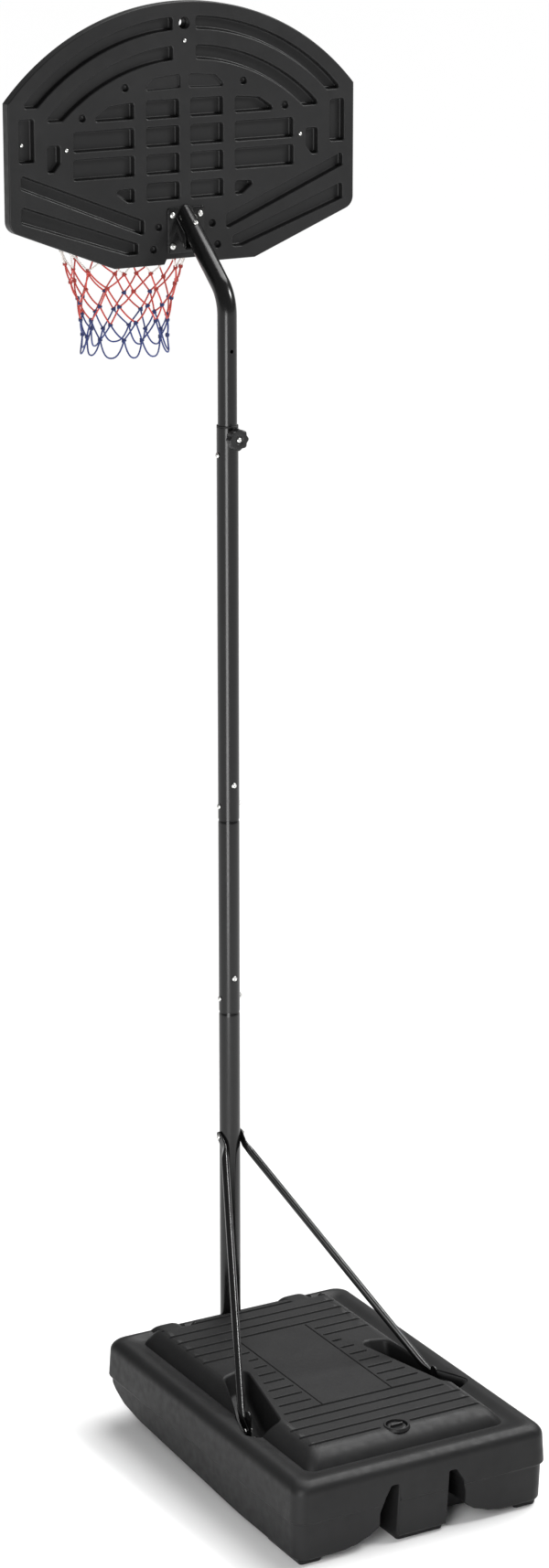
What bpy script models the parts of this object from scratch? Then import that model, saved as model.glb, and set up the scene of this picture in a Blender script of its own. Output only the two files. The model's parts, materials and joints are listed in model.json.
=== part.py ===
# Portable basketball stand: wheeled water tank, three-section pole with two struts,
# sliding top tube with the backboard, rim and net.
# Metres, +Z up. The pole axis is the working frame; the hoop faces -Y, the tank lies to +Y.

import math

import bmesh
import bpy
from mathutils import Matrix, Vector

# Clearances
GAP = 0.0003
SLIDE_CLEARANCE = 0.0004
AXLE_CLEARANCE = 0.0005
BOLT_CLEARANCE = 0.0004

# Tank
TANK_WIDTH = 0.674
TANK_LENGTH = 0.946
TANK_FRONT = 0.026
TANK_CORNER = 0.034
CORNER_TIGHTENING = 0.25
TANK_WALL = 0.005
TANK_LIFT = 0.014
TANK_DRAFT = 0.008
LEDGE_HEIGHT = 0.112
LEDGE_STEP = 0.004
SHOULDER_HEIGHT = 0.203
SHOULDER_ROUND = 0.028
SHOULDER_LEAN = 0.003
DECK_HEIGHT = 0.230
DECK_INSET = 0.126
DECK_FRONT_INSET = 0.088
DECK_REAR_INSET = 0.130
VALLEY_INSET = 0.074
VALLEY_DEPTH = 0.009
# The crowned edge of the deck: shares of the way in from the valley, and of the rise
DECK_EDGE = ((0.19, 0.32), (0.38, 0.62), (0.58, 0.85), (0.77, 0.96), (1.0, 1.0))

# Deck grooves, smooth panel and fill neck
GROOVE_PITCH = 0.0421
GROOVE_WIDTH = 0.007
GROOVE_DEPTH = 0.005
GROOVE_SIDE_INSET = 0.107
GROOVE_FRONT_INSET = 0.095
GROOVE_REAR_INSET = 0.132
PANEL_HALF_WIDTH = 0.092
PANEL_AHEAD = 0.130
PANEL_TO_REAR = 0.308
PANEL_STEP_WIDTH = 0.003
PANEL_STEP_DEPTH = 0.002
NECK_TO_REAR = 0.128
NECK_RADIUS = 0.017
BOSS_RADIUS = 0.032
BOSS_HEIGHT = 0.003
BOSS_MARGIN = 0.008
CAP_RADIUS = 0.022
CAP_SEAT_DEPTH = 0.011
CAP_SEAT_GAP = 0.003
CAP_PLUG_LENGTH = 0.016

# Strut pockets in the deck: places from the tank's rear and in from its sides
POCKET_TO_REAR = 0.272
POCKET_LENGTH = 0.313
POCKET_INNER_FRONT_INSET = 0.190
POCKET_INNER_REAR_INSET = 0.115
POCKET_OUTER_FRONT_INSET = 0.115
POCKET_OUTER_REAR_INSET = 0.036
POCKET_FLOOR = 0.142
POCKET_FLOOR_FRONT = 0.178
POCKET_FLAT_LENGTH = 0.138
POCKET_ROUND = 0.008
POCKET_OUTER_FRONT_BACK = 0.030
POCKET_OUTER_REAR_AHEAD = 0.022
# How far each corner of the floor lies from the rim's: inner front and rear, outer rear and front
POCKET_SLOPES = ((0.022, 0.050), (-0.006, -0.010), (-0.007, -0.008), (-0.004, 0.025))

# Rear end, feet and the lower front corners, which are set back and rise to the front
REAR_BLOCK_HALF = 0.068
REAR_SLOT_WIDTH = 0.045
REAR_SLOT_TOP = 0.150
REAR_SLOT_DEPTH = 0.075
ARCH_HEIGHT = 0.054
ARCH_END = 0.215
FOOT_WIDTH = 0.052
FOOT_LENGTH = 0.150
FOOT_SLANT = 0.006
FOOT_MARGIN = 0.016
BLOCK_FOOT_MARGIN = 0.009
BLOCK_FOOT_LENGTH = 0.110
FRONT_FOOT_INNER = 0.052
FRONT_FOOT_OUTER = 0.128
FRONT_FOOT_START = 0.004
FRONT_FOOT_END = 0.085
RELIEF_BACK = 0.030
RELIEF_KNEE = 0.140
RELIEF_KNEE_HEIGHT = 0.048
RELIEF_FROM_WELL = 0.012

# Wheels and axle
WHEEL_RADIUS = 0.0575
WHEEL_WIDTH = 0.036
WHEEL_X = 0.178
WHEEL_FLOOR_GAP = 0.004
WHEEL_HUB_RISE = 0.002
WHEEL_WELL_GAP = 0.012
AXLE_RADIUS = 0.006
WELL_HALF_WIDTH = 0.031
HUMP_MARGIN = 0.008
HUMP_RISE = 0.006
HUMP_BACK = 0.062
HUMP_FOOT = 0.060
# Along the hump: how far behind the tank's front, and how far below its full height
HUMP_STATIONS = ((0.004, 0.018), (0.011, 0.006), (0.022, 0.001), (0.034, 0.0), (0.088, 0.0))
NOTCH_MARGIN = 0.006
NOTCH_DRAFT = 0.010

# Poles
POLE_RADIUS = 0.0254
POLE_WALL = 0.0015
POLE_FOOT = 0.036
SEAM_LOW = 0.994
SEAM_HIGH = 1.477
UPPER_TOP = 2.422
SWAGE_LENGTH = 0.125
SWAGE_CONE = 0.010
CROSS_BOLT_RISE = 0.033
REAR_BOLT_RISE = 0.087

# Top tube and arm
TOP_RADIUS = 0.0225
TOP_WALL = 0.0015
TOP_TUBE_OVERLAP = 0.292
ARM_CORNER_RISE = 0.301
ARM_SLOPE = math.radians(39)
ARM_BEND_RADIUS = 0.090
HOLE_PITCH = 0.200

# Height clamp
KNOB_BELOW_TOP = 0.022
KNOB_RADIUS = 0.026
KNOB_THICKNESS = 0.020
KNOB_LOBES = 8
CLAMP_NUT_RADIUS = 0.0085
CLAMP_NUT_LENGTH = 0.010
CLAMP_SCREW_RADIUS = 0.004
BUSH_LENGTH = 0.070
BUSH_COLLAR = 0.004
BUSH_SCREW_BELOW_TOP = 0.065

# Fasteners
BOLT_RADIUS = 0.003
BOLT_HEAD_RADIUS = 0.0065
BOLT_HEAD_HEIGHT = 0.0045
BOLT_TAIL = 0.009
NUT_HEIGHT = 0.005
PLATE_BOLT_RADIUS = 0.004

# Struts
STRUT_RADIUS = 0.0095
STRUT_TAB = 0.0045
STRUT_TAB_HALF = 0.0125
STRUT_TAB_LENGTH = 0.031
STRUT_TOP_Z = 0.672
STRUT_FOOT_INSET = 0.080
STRUT_FOOT_BEHIND = 0.103
STRUT_FOOT_RISE = 0.030
EAR_THICKNESS = 0.003
EAR_HALF = 0.014
EAR_HEIGHT = 0.078

# Backboard
BOARD_WIDTH = 0.900
BOARD_HEIGHT = 0.600
BOARD_THICKNESS = 0.030
BOARD_BACK = -0.198
BOARD_ABOVE_CORNER = 0.050
BOARD_SHOULDER_SHARE = 0.653
BOARD_SIDE_FOOT_SHARE = 0.175
BOARD_FLAT_SHARE = 0.409
BOARD_CORNER = 0.030
BOARD_EDGE = 0.007
BOARD_WALL = 0.003
NOTCH_HALF = 0.049
NOTCH_SLANT = 0.006
NOTCH_HEIGHT = 0.012
RECESS_DEPTH = 0.016
RECESS_ROUND = 0.004
DIMPLE_RADIUS = 0.0095
DIMPLE_DEPTH = 0.010
SPINE_HALF = 0.030
BOARD_HOLE_RADIUS = 0.013
BOARD_HOLE_SHARE = 0.918
SHALLOW_SHARE = 0.35

# Arm bracket
PLATE_WIDTH = 0.096
PLATE_HEIGHT = 0.106
PLATE_THICKNESS = 0.003
PLATE_ABOVE_BOTTOM = 0.078
PLATE_BOLT_SPACING = 0.072
CHANNEL_LENGTH = 0.046
CHEEK_RISE = 0.030
ARM_BOLT_BACK = 0.034
ARM_OVERRUN = 0.030

# Rim and net
RIM_RADIUS = 0.196
RIM_ROD = 0.0065
RIM_REACH = 0.286
RIM_ABOVE_BOTTOM = 0.102
HOOK_COUNT = 12
HOOK_WIRE = 0.0020
HOOK_DROP = 0.017
HOOK_HALF = 0.0052
WEB_HALF_WIDTH = 0.040
GUSSET_FOOT = 0.024
BRACE_RADIUS = 0.004
BRACE_ANGLE = math.radians(32)
NET_CORD = 0.0040
NET_ROWS = 8
NET_DROP = 0.345
NET_END_RADIUS = 0.098

# Worked out from the sizes above
KNOB_Z = UPPER_TOP - KNOB_BELOW_TOP
BUSH_SCREW_Z = UPPER_TOP - BUSH_SCREW_BELOW_TOP
TOP_TUBE_FOOT = UPPER_TOP - TOP_TUBE_OVERLAP
ARM_CORNER_Z = UPPER_TOP + ARM_CORNER_RISE
BOARD_BOTTOM = ARM_CORNER_Z + BOARD_ABOVE_CORNER
PLATE_CENTRE_Z = BOARD_BOTTOM + PLATE_ABOVE_BOTTOM
RIM_Z = BOARD_BOTTOM + RIM_ABOVE_BOTTOM
BOARD_FRONT = BOARD_BACK - BOARD_THICKNESS
BOARD_SHOULDER = BOARD_SHOULDER_SHARE * BOARD_HEIGHT
BOARD_SIDE_FOOT = BOARD_SIDE_FOOT_SHARE * BOARD_HEIGHT
BOARD_FLAT_HALF = BOARD_FLAT_SHARE * BOARD_WIDTH / 2
RIM_CENTRE_Y = BOARD_FRONT - RIM_REACH
TANK_HALF = TANK_WIDTH / 2
TANK_REAR = TANK_LENGTH - TANK_FRONT
NECK_Y = TANK_REAR - NECK_TO_REAR
POCKET_REAR = TANK_REAR - POCKET_TO_REAR
POCKET_FRONT = POCKET_REAR - POCKET_LENGTH
POCKET_FLAT = POCKET_REAR - POCKET_FLAT_LENGTH
POCKET_INNER_FRONT = TANK_HALF - POCKET_INNER_FRONT_INSET
POCKET_INNER_REAR = TANK_HALF - POCKET_INNER_REAR_INSET
POCKET_OUTER_FRONT = TANK_HALF - POCKET_OUTER_FRONT_INSET
POCKET_OUTER_REAR = TANK_HALF - POCKET_OUTER_REAR_INSET
PANEL_FRONT = POCKET_FRONT - PANEL_AHEAD
PANEL_REAR = TANK_REAR - PANEL_TO_REAR
STRUT_FOOT_X = TANK_HALF - STRUT_FOOT_INSET
STRUT_FOOT_Y = POCKET_REAR - STRUT_FOOT_BEHIND
STRUT_FOOT_Z = POCKET_FLOOR + STRUT_FOOT_RISE
AXLE_Z = WHEEL_RADIUS + WHEEL_FLOOR_GAP
POLE_BORE = POLE_RADIUS - POLE_WALL
SWAGE_RADIUS = POLE_BORE - GAP
STRUT_TOP_X = POLE_RADIUS + GAP + STRUT_TAB / 2
CENTRE_Y = (TANK_REAR + RIM_CENTRE_Y - RIM_RADIUS - RIM_ROD) / 2


def clear_scene():
    for item in list(bpy.data.objects):
        bpy.data.objects.remove(item, do_unlink=True)


def new_collection(name):
    collection = bpy.data.collections.new(name)
    bpy.context.scene.collection.children.link(collection)
    return collection


clear_scene()
STAND = new_collection("basketball_stand")
CUTTERS = new_collection("cutters")


def new_material(name, colour, roughness, metallic):
    material = bpy.data.materials.new(name)
    material.use_nodes = True
    shader = material.node_tree.nodes["Principled BSDF"]
    shader.inputs["Base Color"].default_value = (*colour, 1.0)
    shader.inputs["Roughness"].default_value = roughness
    shader.inputs["Metallic"].default_value = metallic
    material.diffuse_color = (*colour, 1.0)
    return material


def new_empty(name, location, parent=None):
    empty = bpy.data.objects.new(name, None)
    empty.empty_display_size = 0.05
    empty.location = location
    empty.parent = parent
    STAND.objects.link(empty)
    return empty


def link_mesh(name, bm, material, parent, location=(0, 0, 0), smooth=True):
    mesh = bpy.data.meshes.new(name)
    bm.to_mesh(mesh)
    bm.free()
    item = bpy.data.objects.new(name, mesh)
    item.location = location
    item.parent = parent
    mesh.materials.append(new_material(name, *material))
    STAND.objects.link(item)
    if smooth:
        mesh.shade_smooth()
        mesh.set_sharp_from_angle(angle=math.radians(35))
    return item


def link_cutter(name, bm, parent):
    mesh = bpy.data.meshes.new(name)
    bm.to_mesh(mesh)
    bm.free()
    item = bpy.data.objects.new(name, mesh)
    item.parent = parent
    item.hide_render = True
    item.display_type = "WIRE"
    CUTTERS.objects.link(item)
    return item


def combine(target, name, bm, operation="DIFFERENCE", self_crossing=False):
    """Cut a shape out of a piece, or join it on, in the piece's parent frame."""
    tool = link_cutter(f"{target.name}_{name}", bm, target.parent)
    modifier = target.modifiers.new(name, "BOOLEAN")
    modifier.operation = operation
    modifier.solver = "EXACT"
    modifier.use_self = self_crossing
    modifier.object = tool
    return tool


def add_box(bm, low, high):
    size = Vector(high) - Vector(low)
    centre = (Vector(high) + Vector(low)) / 2
    matrix = Matrix.Translation(centre) @ Matrix.Diagonal((*size, 1.0))
    return bmesh.ops.create_cube(bm, size=1.0, matrix=matrix)["verts"]


def box(low, high):
    bm = bmesh.new()
    add_box(bm, low, high)
    return bm


AXIS_TURN = {
    "X": Matrix.Rotation(math.radians(90), 4, "Y"),
    "-X": Matrix.Rotation(math.radians(-90), 4, "Y"),
    "Y": Matrix.Rotation(math.radians(-90), 4, "X"),
    "-Y": Matrix.Rotation(math.radians(90), 4, "X"),
    "Z": Matrix.Identity(4),
}


# Sign along X, the axis letter that points that way, and the word for the side
SIDES = ((1, "X", "left"), (-1, "-X", "right"))


def add_rod(bm, centre, axis, radius, length, sides=20):
    """A cylinder whose middle is at centre, along an axis letter or a direction."""
    turn = AXIS_TURN[axis] if isinstance(axis, str) else direction_turn(axis)
    matrix = Matrix.Translation(centre) @ turn
    bmesh.ops.create_cone(
        bm, cap_ends=True, segments=sides, radius1=radius, radius2=radius, depth=length, matrix=matrix
    )


def rod(centre, axis, radius, length, sides=20):
    bm = bmesh.new()
    add_rod(bm, centre, axis, radius, length, sides)
    return bm


def direction_turn(direction):
    return Vector(direction).to_track_quat("Z", "Y").to_matrix().to_4x4()


def spun_mesh(profile, matrix, sides):
    """Spin a closed (radius, height) outline about Z into a solid and place it."""
    bm = bmesh.new()
    verts = [bm.verts.new((radius, 0.0, height)) for radius, height in profile]
    edges = []
    for index, vert in enumerate(verts):
        follow = verts[(index + 1) % len(verts)]
        if vert.co.x > 0 or follow.co.x > 0:
            edges.append(bm.edges.new((vert, follow)))
    bmesh.ops.spin(
        bm, geom=verts + edges, cent=(0, 0, 0), axis=(0, 0, 1), angle=math.tau, steps=sides, use_merge=True
    )
    bmesh.ops.remove_doubles(bm, verts=bm.verts, dist=1e-6)
    bmesh.ops.transform(bm, matrix=matrix, verts=bm.verts)
    bmesh.ops.recalc_face_normals(bm, faces=bm.faces)
    return bm


def spun(name, profile, place, axis, parent, sides=10):
    """A small turned fastener in zinc, its profile's Z laid along an axis letter or a direction."""
    turn = AXIS_TURN[axis] if isinstance(axis, str) else direction_turn(axis)
    bm = spun_mesh(profile, Matrix.Translation(place) @ turn, sides)
    return link_mesh(name, bm, ZINC, parent)


def turned(name, profile, material, parent, location=(0, 0, 0), rotation=(0, 0, 0), sides=24):
    """A turned piece: its half profile, outer side first from the top down, with a Screw modifier."""
    mesh = bpy.data.meshes.new(name)
    count = len(profile)
    edges = [(index, (index + 1) % count) for index in range(count)]
    edges = [(a, b) for a, b in edges if profile[a][0] > 0 or profile[b][0] > 0]
    mesh.from_pydata([(radius, 0.0, height) for radius, height in profile], edges, [])
    item = bpy.data.objects.new(name, mesh)
    item.location = location
    item.rotation_euler = rotation
    item.parent = parent
    mesh.materials.append(new_material(name, *material))
    STAND.objects.link(item)
    screw = item.modifiers.new("turn", "SCREW")
    screw.axis = "Z"
    screw.steps = sides
    screw.render_steps = sides
    screw.use_merge_vertices = True
    screw.merge_threshold = 0.00001
    screw.use_smooth_shade = True
    return item


def sleeve(outer, inner, low, high):
    return [(outer, high), (outer, low), (inner, low), (inner, high)]


def signed_area(points):
    pairs = zip(points, points[1:] + points[:1])
    return sum(a[0] * b[1] - b[0] * a[1] for a, b in pairs) / 2


def offset_outline(points, distance):
    """Move every edge of a flat outline outwards by a distance."""
    ordered = points if signed_area(points) > 0 else points[::-1]
    count = len(ordered)
    moved = []
    for index in range(count):
        here = Vector(ordered[index])
        before = (here - Vector(ordered[index - 1])).normalized()
        after = (Vector(ordered[(index + 1) % count]) - here).normalized()
        normal_before = Vector((before.y, -before.x))
        normal_after = Vector((after.y, -after.x))
        bisector = (normal_before + normal_after).normalized()
        reach = distance / max(bisector.dot(normal_before), 0.35)
        moved.append(tuple(here + bisector * reach))
    return moved


def add_prism(bm, points, axis, low, high):
    """A flat outline run along an axis. The outline is (y, z), (x, z) or (x, y)."""
    def place(point, along):
        first, second = point
        return {"X": (along, first, second), "Y": (first, along, second), "Z": (first, second, along)}[axis]
    face = bm.faces.new([bm.verts.new(place(point, low)) for point in points])
    result = bmesh.ops.extrude_face_region(bm, geom=[face])
    verts = [item for item in result["geom"] if isinstance(item, bmesh.types.BMVert)]
    shift = place((0.0, 0.0), high - low)
    bmesh.ops.translate(bm, vec=shift, verts=verts)
    faces = list({link for vert in verts + list(face.verts) for link in vert.link_faces})
    bmesh.ops.recalc_face_normals(bm, faces=faces)


def prism(points, axis, low, high):
    bm = bmesh.new()
    add_prism(bm, points, axis, low, high)
    return bm


def arc_points(centre, radius, start, end, steps):
    """Points on a circle from one angle to another, in radians."""
    angles = [start + (end - start) * step / steps for step in range(steps + 1)]
    return [(centre[0] + radius * math.cos(a), centre[1] + radius * math.sin(a)) for a in angles]


def rounded_rectangle(half_width, front, rear, radius, steps=4):
    right = math.pi / 2
    corners = [
        ((half_width - radius, rear - radius), 0.0),
        ((-half_width + radius, rear - radius), right),
        ((-half_width + radius, front + radius), 2 * right),
        ((half_width - radius, front + radius), 3 * right),
    ]
    points = []
    for centre, start in corners:
        points += arc_points(centre, radius, start, start + right, steps)
    return points


def add_loft(bm, sections):
    """Join a stack of rings, each a list of points in space, and close both ends."""
    rings = [[bm.verts.new(point) for point in section] for section in sections]
    faces = [bm.faces.new(rings[0]), bm.faces.new(rings[-1])]
    for lower, upper in zip(rings, rings[1:]):
        for index in range(len(lower)):
            follow = (index + 1) % len(lower)
            faces.append(bm.faces.new((lower[index], lower[follow], upper[follow], upper[index])))
    bmesh.ops.recalc_face_normals(bm, faces=faces)


def loft(sections):
    bm = bmesh.new()
    add_loft(bm, sections)
    return bm


def pipe_mesh(name, routes, radius, resolution=4):
    """Round wire along one or more routes as a closed mesh."""
    curve = bpy.data.curves.new(name, "CURVE")
    curve.dimensions = "3D"
    curve.bevel_depth = radius
    curve.bevel_resolution = resolution
    curve.use_fill_caps = True
    for route in routes:
        spline = curve.splines.new("POLY")
        spline.points.add(len(route) - 1)
        for point, position in zip(spline.points, route):
            point.co = (*position, 1.0)
    item = bpy.data.objects.new(name, curve)
    STAND.objects.link(item)
    evaluated = item.evaluated_get(bpy.context.evaluated_depsgraph_get())
    mesh = bpy.data.meshes.new_from_object(evaluated)
    bpy.data.objects.remove(item)
    bpy.data.curves.remove(curve)
    bm = bmesh.new()
    bm.from_mesh(mesh)
    bpy.data.meshes.remove(mesh)
    bmesh.ops.remove_doubles(bm, verts=bm.verts, dist=1e-6)
    bmesh.ops.recalc_face_normals(bm, faces=bm.faces)
    return bm


# Finishes: colour, roughness, metallic
TANK_PLASTIC = ((0.022, 0.022, 0.023), 0.55, 0.0)
BOARD_PLASTIC = ((0.025, 0.025, 0.026), 0.60, 0.0)
BLACK_PAINT = ((0.012, 0.012, 0.013), 0.25, 0.0)
ZINC = ((0.75, 0.75, 0.73), 0.28, 1.0)
BLACK_PLASTIC = ((0.018, 0.018, 0.018), 0.45, 0.0)
RUBBER = ((0.015, 0.015, 0.015), 0.80, 0.0)
NET_WHITE = ((0.80, 0.80, 0.80), 0.80, 0.0)
RIM_PAINT = ((0.55, 0.10, 0.02), 0.35, 0.0)


# Tank


def tank_ring(inset, steps):
    """The tank's outline seen from above, moved in from the sides; past the border's crest
    the front and rear go in by their own amounts, so that the deck sits where it should."""
    crest = SHOULDER_LEAN + SHOULDER_ROUND
    border = min(inset, crest)
    share = (inset - border) / (DECK_INSET - crest)
    front = -TANK_FRONT + border + share * (DECK_FRONT_INSET - crest)
    rear = TANK_REAR - border - share * (DECK_REAR_INSET - crest)
    return rounded_rectangle(TANK_HALF - inset, front, rear, TANK_CORNER - CORNER_TIGHTENING * inset, steps)


def tank_sections(inward):
    """Rings of the tank's skin, or of its inner skin when inward is the wall."""
    side = SHOULDER_HEIGHT - SHOULDER_ROUND
    crest = SHOULDER_LEAN + SHOULDER_ROUND
    valley = SHOULDER_HEIGHT - VALLEY_DEPTH
    levels = [
        (TANK_DRAFT + 0.006, TANK_LIFT + inward),
        (TANK_DRAFT, TANK_LIFT + 0.008 + inward),
        (LEDGE_STEP, LEDGE_HEIGHT - 0.003 + inward),
        (0.0, LEDGE_HEIGHT + inward),
        (SHOULDER_LEAN, side - inward),
    ]
    for step in range(1, 5):
        turn = math.radians(90) * step / 4
        inset = SHOULDER_LEAN + SHOULDER_ROUND * (1 - math.cos(turn))
        levels.append((inset, side + SHOULDER_ROUND * math.sin(turn) - inward))
    levels += [
        (crest + 0.5 * (VALLEY_INSET - crest), valley + 0.60 * VALLEY_DEPTH - inward),
        (crest + 0.85 * (VALLEY_INSET - crest), valley + 0.05 * VALLEY_DEPTH - inward),
        (VALLEY_INSET, valley - inward),
    ]
    for across, up in DECK_EDGE:
        drop = inward + up * GROOVE_DEPTH if inward else 0.0
        inset = VALLEY_INSET + across * (DECK_INSET - VALLEY_INSET)
        levels.append((inset, valley + up * (DECK_HEIGHT - valley) - drop))
    sections = []
    for inset, height in levels:
        ring = tank_ring(inset + inward, 1 if inward else 4)
        sections.append([(x, y, height) for x, y in ring])
    return sections


def pocket_ring(corners):
    """Six points round a pocket, with one on each long side where its flat floor starts."""
    inner_front, inner_rear, outer_rear, outer_front = corners

    def at_flat(front, rear):
        share = (POCKET_FLAT - front[1]) / (rear[1] - front[1])
        return (front[0] + (rear[0] - front[0]) * share, POCKET_FLAT)
    return [
        outer_front, at_flat(outer_front, outer_rear), outer_rear,
        inner_rear, at_flat(inner_front, inner_rear), inner_front,
    ]


def pocket(side, wall=0.0):
    """The splayed recess that a strut foot stands in: a ramp that ends in a flat floor."""
    rim = [
        (POCKET_INNER_FRONT, POCKET_FRONT), (POCKET_INNER_REAR, POCKET_REAR),
        (POCKET_OUTER_REAR, POCKET_REAR - POCKET_OUTER_REAR_AHEAD),
        (POCKET_OUTER_FRONT, POCKET_FRONT + POCKET_OUTER_FRONT_BACK),
    ]
    upper = pocket_ring(rim)
    lower = pocket_ring([(x + in_x, y + in_y) for (x, y), (in_x, in_y) in zip(rim, POCKET_SLOPES)])
    floors = [POCKET_FLOOR_FRONT] + 4 * [POCKET_FLOOR] + [POCKET_FLOOR_FRONT]
    bm = bmesh.new()
    bottom = [
        bm.verts.new((side * x, y, floor - wall))
        for (x, y), floor in zip(offset_outline(lower, wall), floors)
    ]
    top = [bm.verts.new((side * x, y, DECK_HEIGHT + 0.020)) for x, y in offset_outline(upper, wall)]
    faces = [bm.faces.new(top), bm.faces.new((bottom[5], bottom[0], bottom[1], bottom[4]))]
    faces.append(bm.faces.new((bottom[4], bottom[1], bottom[2], bottom[3])))
    for index in range(6):
        follow = (index + 1) % 6
        faces.append(bm.faces.new((bottom[index], bottom[follow], top[follow], top[index])))
    bmesh.ops.recalc_face_normals(bm, faces=faces)
    if not wall:
        crease = {bottom[1], bottom[4]}
        corner = [e for e in bm.edges if set(e.verts) != crease and not set(e.verts) <= set(top)]
        bmesh.ops.bevel(
            bm, geom=corner, offset=POCKET_ROUND, offset_type="OFFSET", segments=3, profile=0.5,
            affect="EDGES", clamp_overlap=True, material=-1,
        )
    return bm


def wheel_well(side, wall=0.0):
    radius = WHEEL_RADIUS + WHEEL_WELL_GAP + wall
    outline = [(-TANK_FRONT - 0.05, -0.05), (radius, -0.05)]
    outline += arc_points((0.0, AXLE_Z), radius, 0.0, math.pi / 2, 6)
    outline += [(-TANK_FRONT - 0.05, AXLE_Z + radius)]
    centre = side * WHEEL_X
    half = WELL_HALF_WIDTH + wall
    return prism(outline, "X", centre - half, centre + half)


def pole_slot(wall=0.0):
    """The open-fronted channel that the pole stands in."""
    radius = POLE_RADIUS + GAP + wall
    front = -TANK_FRONT - 0.02
    lead = math.radians(7)
    outline = [(-radius * math.cos(lead), front), (radius * math.cos(lead), front)]
    outline += arc_points((0.0, 0.0), radius, -lead, math.pi + lead, 17)
    return prism(outline, "Z", POLE_FOOT - GAP - wall, DECK_HEIGHT + 0.02)


def axle_groove(wall=0.0):
    """The groove that the axle snaps into from below."""
    radius = AXLE_RADIUS + AXLE_CLEARANCE + wall
    outline = [(-radius, -0.02), (radius, -0.02)]
    outline += arc_points((0.0, AXLE_Z), radius, 0.0, math.pi, 7)
    reach = WHEEL_X
    return prism(outline, "X", -reach, reach)


def rear_slot(side, wall=0.0):
    """The finger slot beside the rear block, its outer edge slanted, with the arch that rises to it."""
    inner = REAR_BLOCK_HALF
    outer = inner + REAR_SLOT_WIDTH
    run = ARCH_END - outer
    outline = [
        (inner, -0.02),
        (inner, REAR_SLOT_TOP),
        (inner + 0.40 * REAR_SLOT_WIDTH, REAR_SLOT_TOP),
        (inner + 0.80 * REAR_SLOT_WIDTH, 0.80 * REAR_SLOT_TOP),
        (outer, 0.57 * REAR_SLOT_TOP),
        (outer, ARCH_HEIGHT),
        (outer + 0.25 * run, 0.68 * ARCH_HEIGHT),
        (outer + 0.60 * run, 0.42 * ARCH_HEIGHT),
        (ARCH_END, TANK_LIFT - 0.001),
        (ARCH_END, -0.02),
    ]
    outline = [(side * x, z) for x, z in offset_outline(outline, wall)]
    return prism(outline, "Y", TANK_REAR - REAR_SLOT_DEPTH - wall, TANK_REAR + 0.02)


def cap_seat(wall=0.0):
    depth = CAP_SEAT_DEPTH + wall - BOSS_HEIGHT
    return rod((0, NECK_Y, DECK_HEIGHT - depth + 0.02), "Z", CAP_RADIUS + CAP_SEAT_GAP + wall, 0.04, 24)


def groove_runs():
    """Start and end of each groove along X, with its place along Y."""
    reach = TANK_HALF - GROOVE_SIDE_INSET
    first = GROOVE_FRONT_INSET - TANK_FRONT
    last = TANK_REAR - GROOVE_REAR_INSET
    ring = BOSS_RADIUS + BOSS_MARGIN
    slope = (POCKET_INNER_REAR - POCKET_INNER_FRONT) / (POCKET_REAR - POCKET_FRONT)
    runs = []
    for index in range(int((last - first) / GROOVE_PITCH) + 1):
        y = first + index * GROOVE_PITCH
        inner = 0.0
        outer = reach
        if PANEL_FRONT < y < PANEL_REAR:
            inner = PANEL_HALF_WIDTH + 0.010
        if abs(y - NECK_Y) < ring:
            inner = math.sqrt(ring ** 2 - (y - NECK_Y) ** 2)
        if POCKET_FRONT - 0.014 < y < POCKET_REAR + 0.012:
            outer = POCKET_INNER_FRONT + slope * (y - POCKET_FRONT) - 0.016
        if outer - inner < 0.02:
            continue
        if inner == 0.0:
            runs.append((-outer, outer, y))
        else:
            runs += [(inner, outer, y), (-outer, -inner, y)]
    return runs


def grooves():
    bm = bmesh.new()
    half = GROOVE_WIDTH / 2
    for start, end, y in groove_runs():
        outline = [
            (y - 1.4 * half, DECK_HEIGHT + 0.002),
            (y + 1.4 * half, DECK_HEIGHT + 0.002),
            (y + 0.5 * half, DECK_HEIGHT - GROOVE_DEPTH),
            (y - 0.5 * half, DECK_HEIGHT - GROOVE_DEPTH),
        ]
        add_prism(bm, outline, "X", start, end)
    return bm


def panel_edge():
    """A fine step round the smooth panel in the middle of the deck."""
    bm = bmesh.new()
    top = DECK_HEIGHT + 0.01
    low = DECK_HEIGHT - PANEL_STEP_DEPTH
    for side in (-1, 1):
        edges = sorted((side * PANEL_HALF_WIDTH, side * (PANEL_HALF_WIDTH + PANEL_STEP_WIDTH)))
        add_box(bm, (edges[0], PANEL_FRONT, low), (edges[1], PANEL_REAR, top))
    return bm


def add_foot(bm, low_x, high_x, low_y, high_y):
    """A flat foot with slanted sides below the tank's floor."""
    top = TANK_LIFT + 0.004
    lower = [(low_x, low_y), (high_x, low_y), (high_x, high_y), (low_x, high_y)]
    upper = offset_outline(lower, FOOT_SLANT)
    add_loft(bm, [[(x, y, 0.0) for x, y in lower], [(x, y, top) for x, y in upper]])


def tank_feet():
    bm = bmesh.new()
    edge = TANK_HALF - TANK_DRAFT - FOOT_MARGIN
    rear = TANK_REAR - TANK_DRAFT - FOOT_MARGIN
    for side in (-1, 1):
        add_foot(bm, *sorted((side * (edge - FOOT_WIDTH), side * edge)), rear - FOOT_LENGTH, rear)
        front_ends = sorted((side * FRONT_FOOT_INNER, side * FRONT_FOOT_OUTER))
        add_foot(bm, *front_ends, FRONT_FOOT_START, FRONT_FOOT_END)
    block = REAR_BLOCK_HALF - BLOCK_FOOT_MARGIN
    add_foot(bm, -block, block, rear - BLOCK_FOOT_LENGTH, rear)
    return bm


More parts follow.
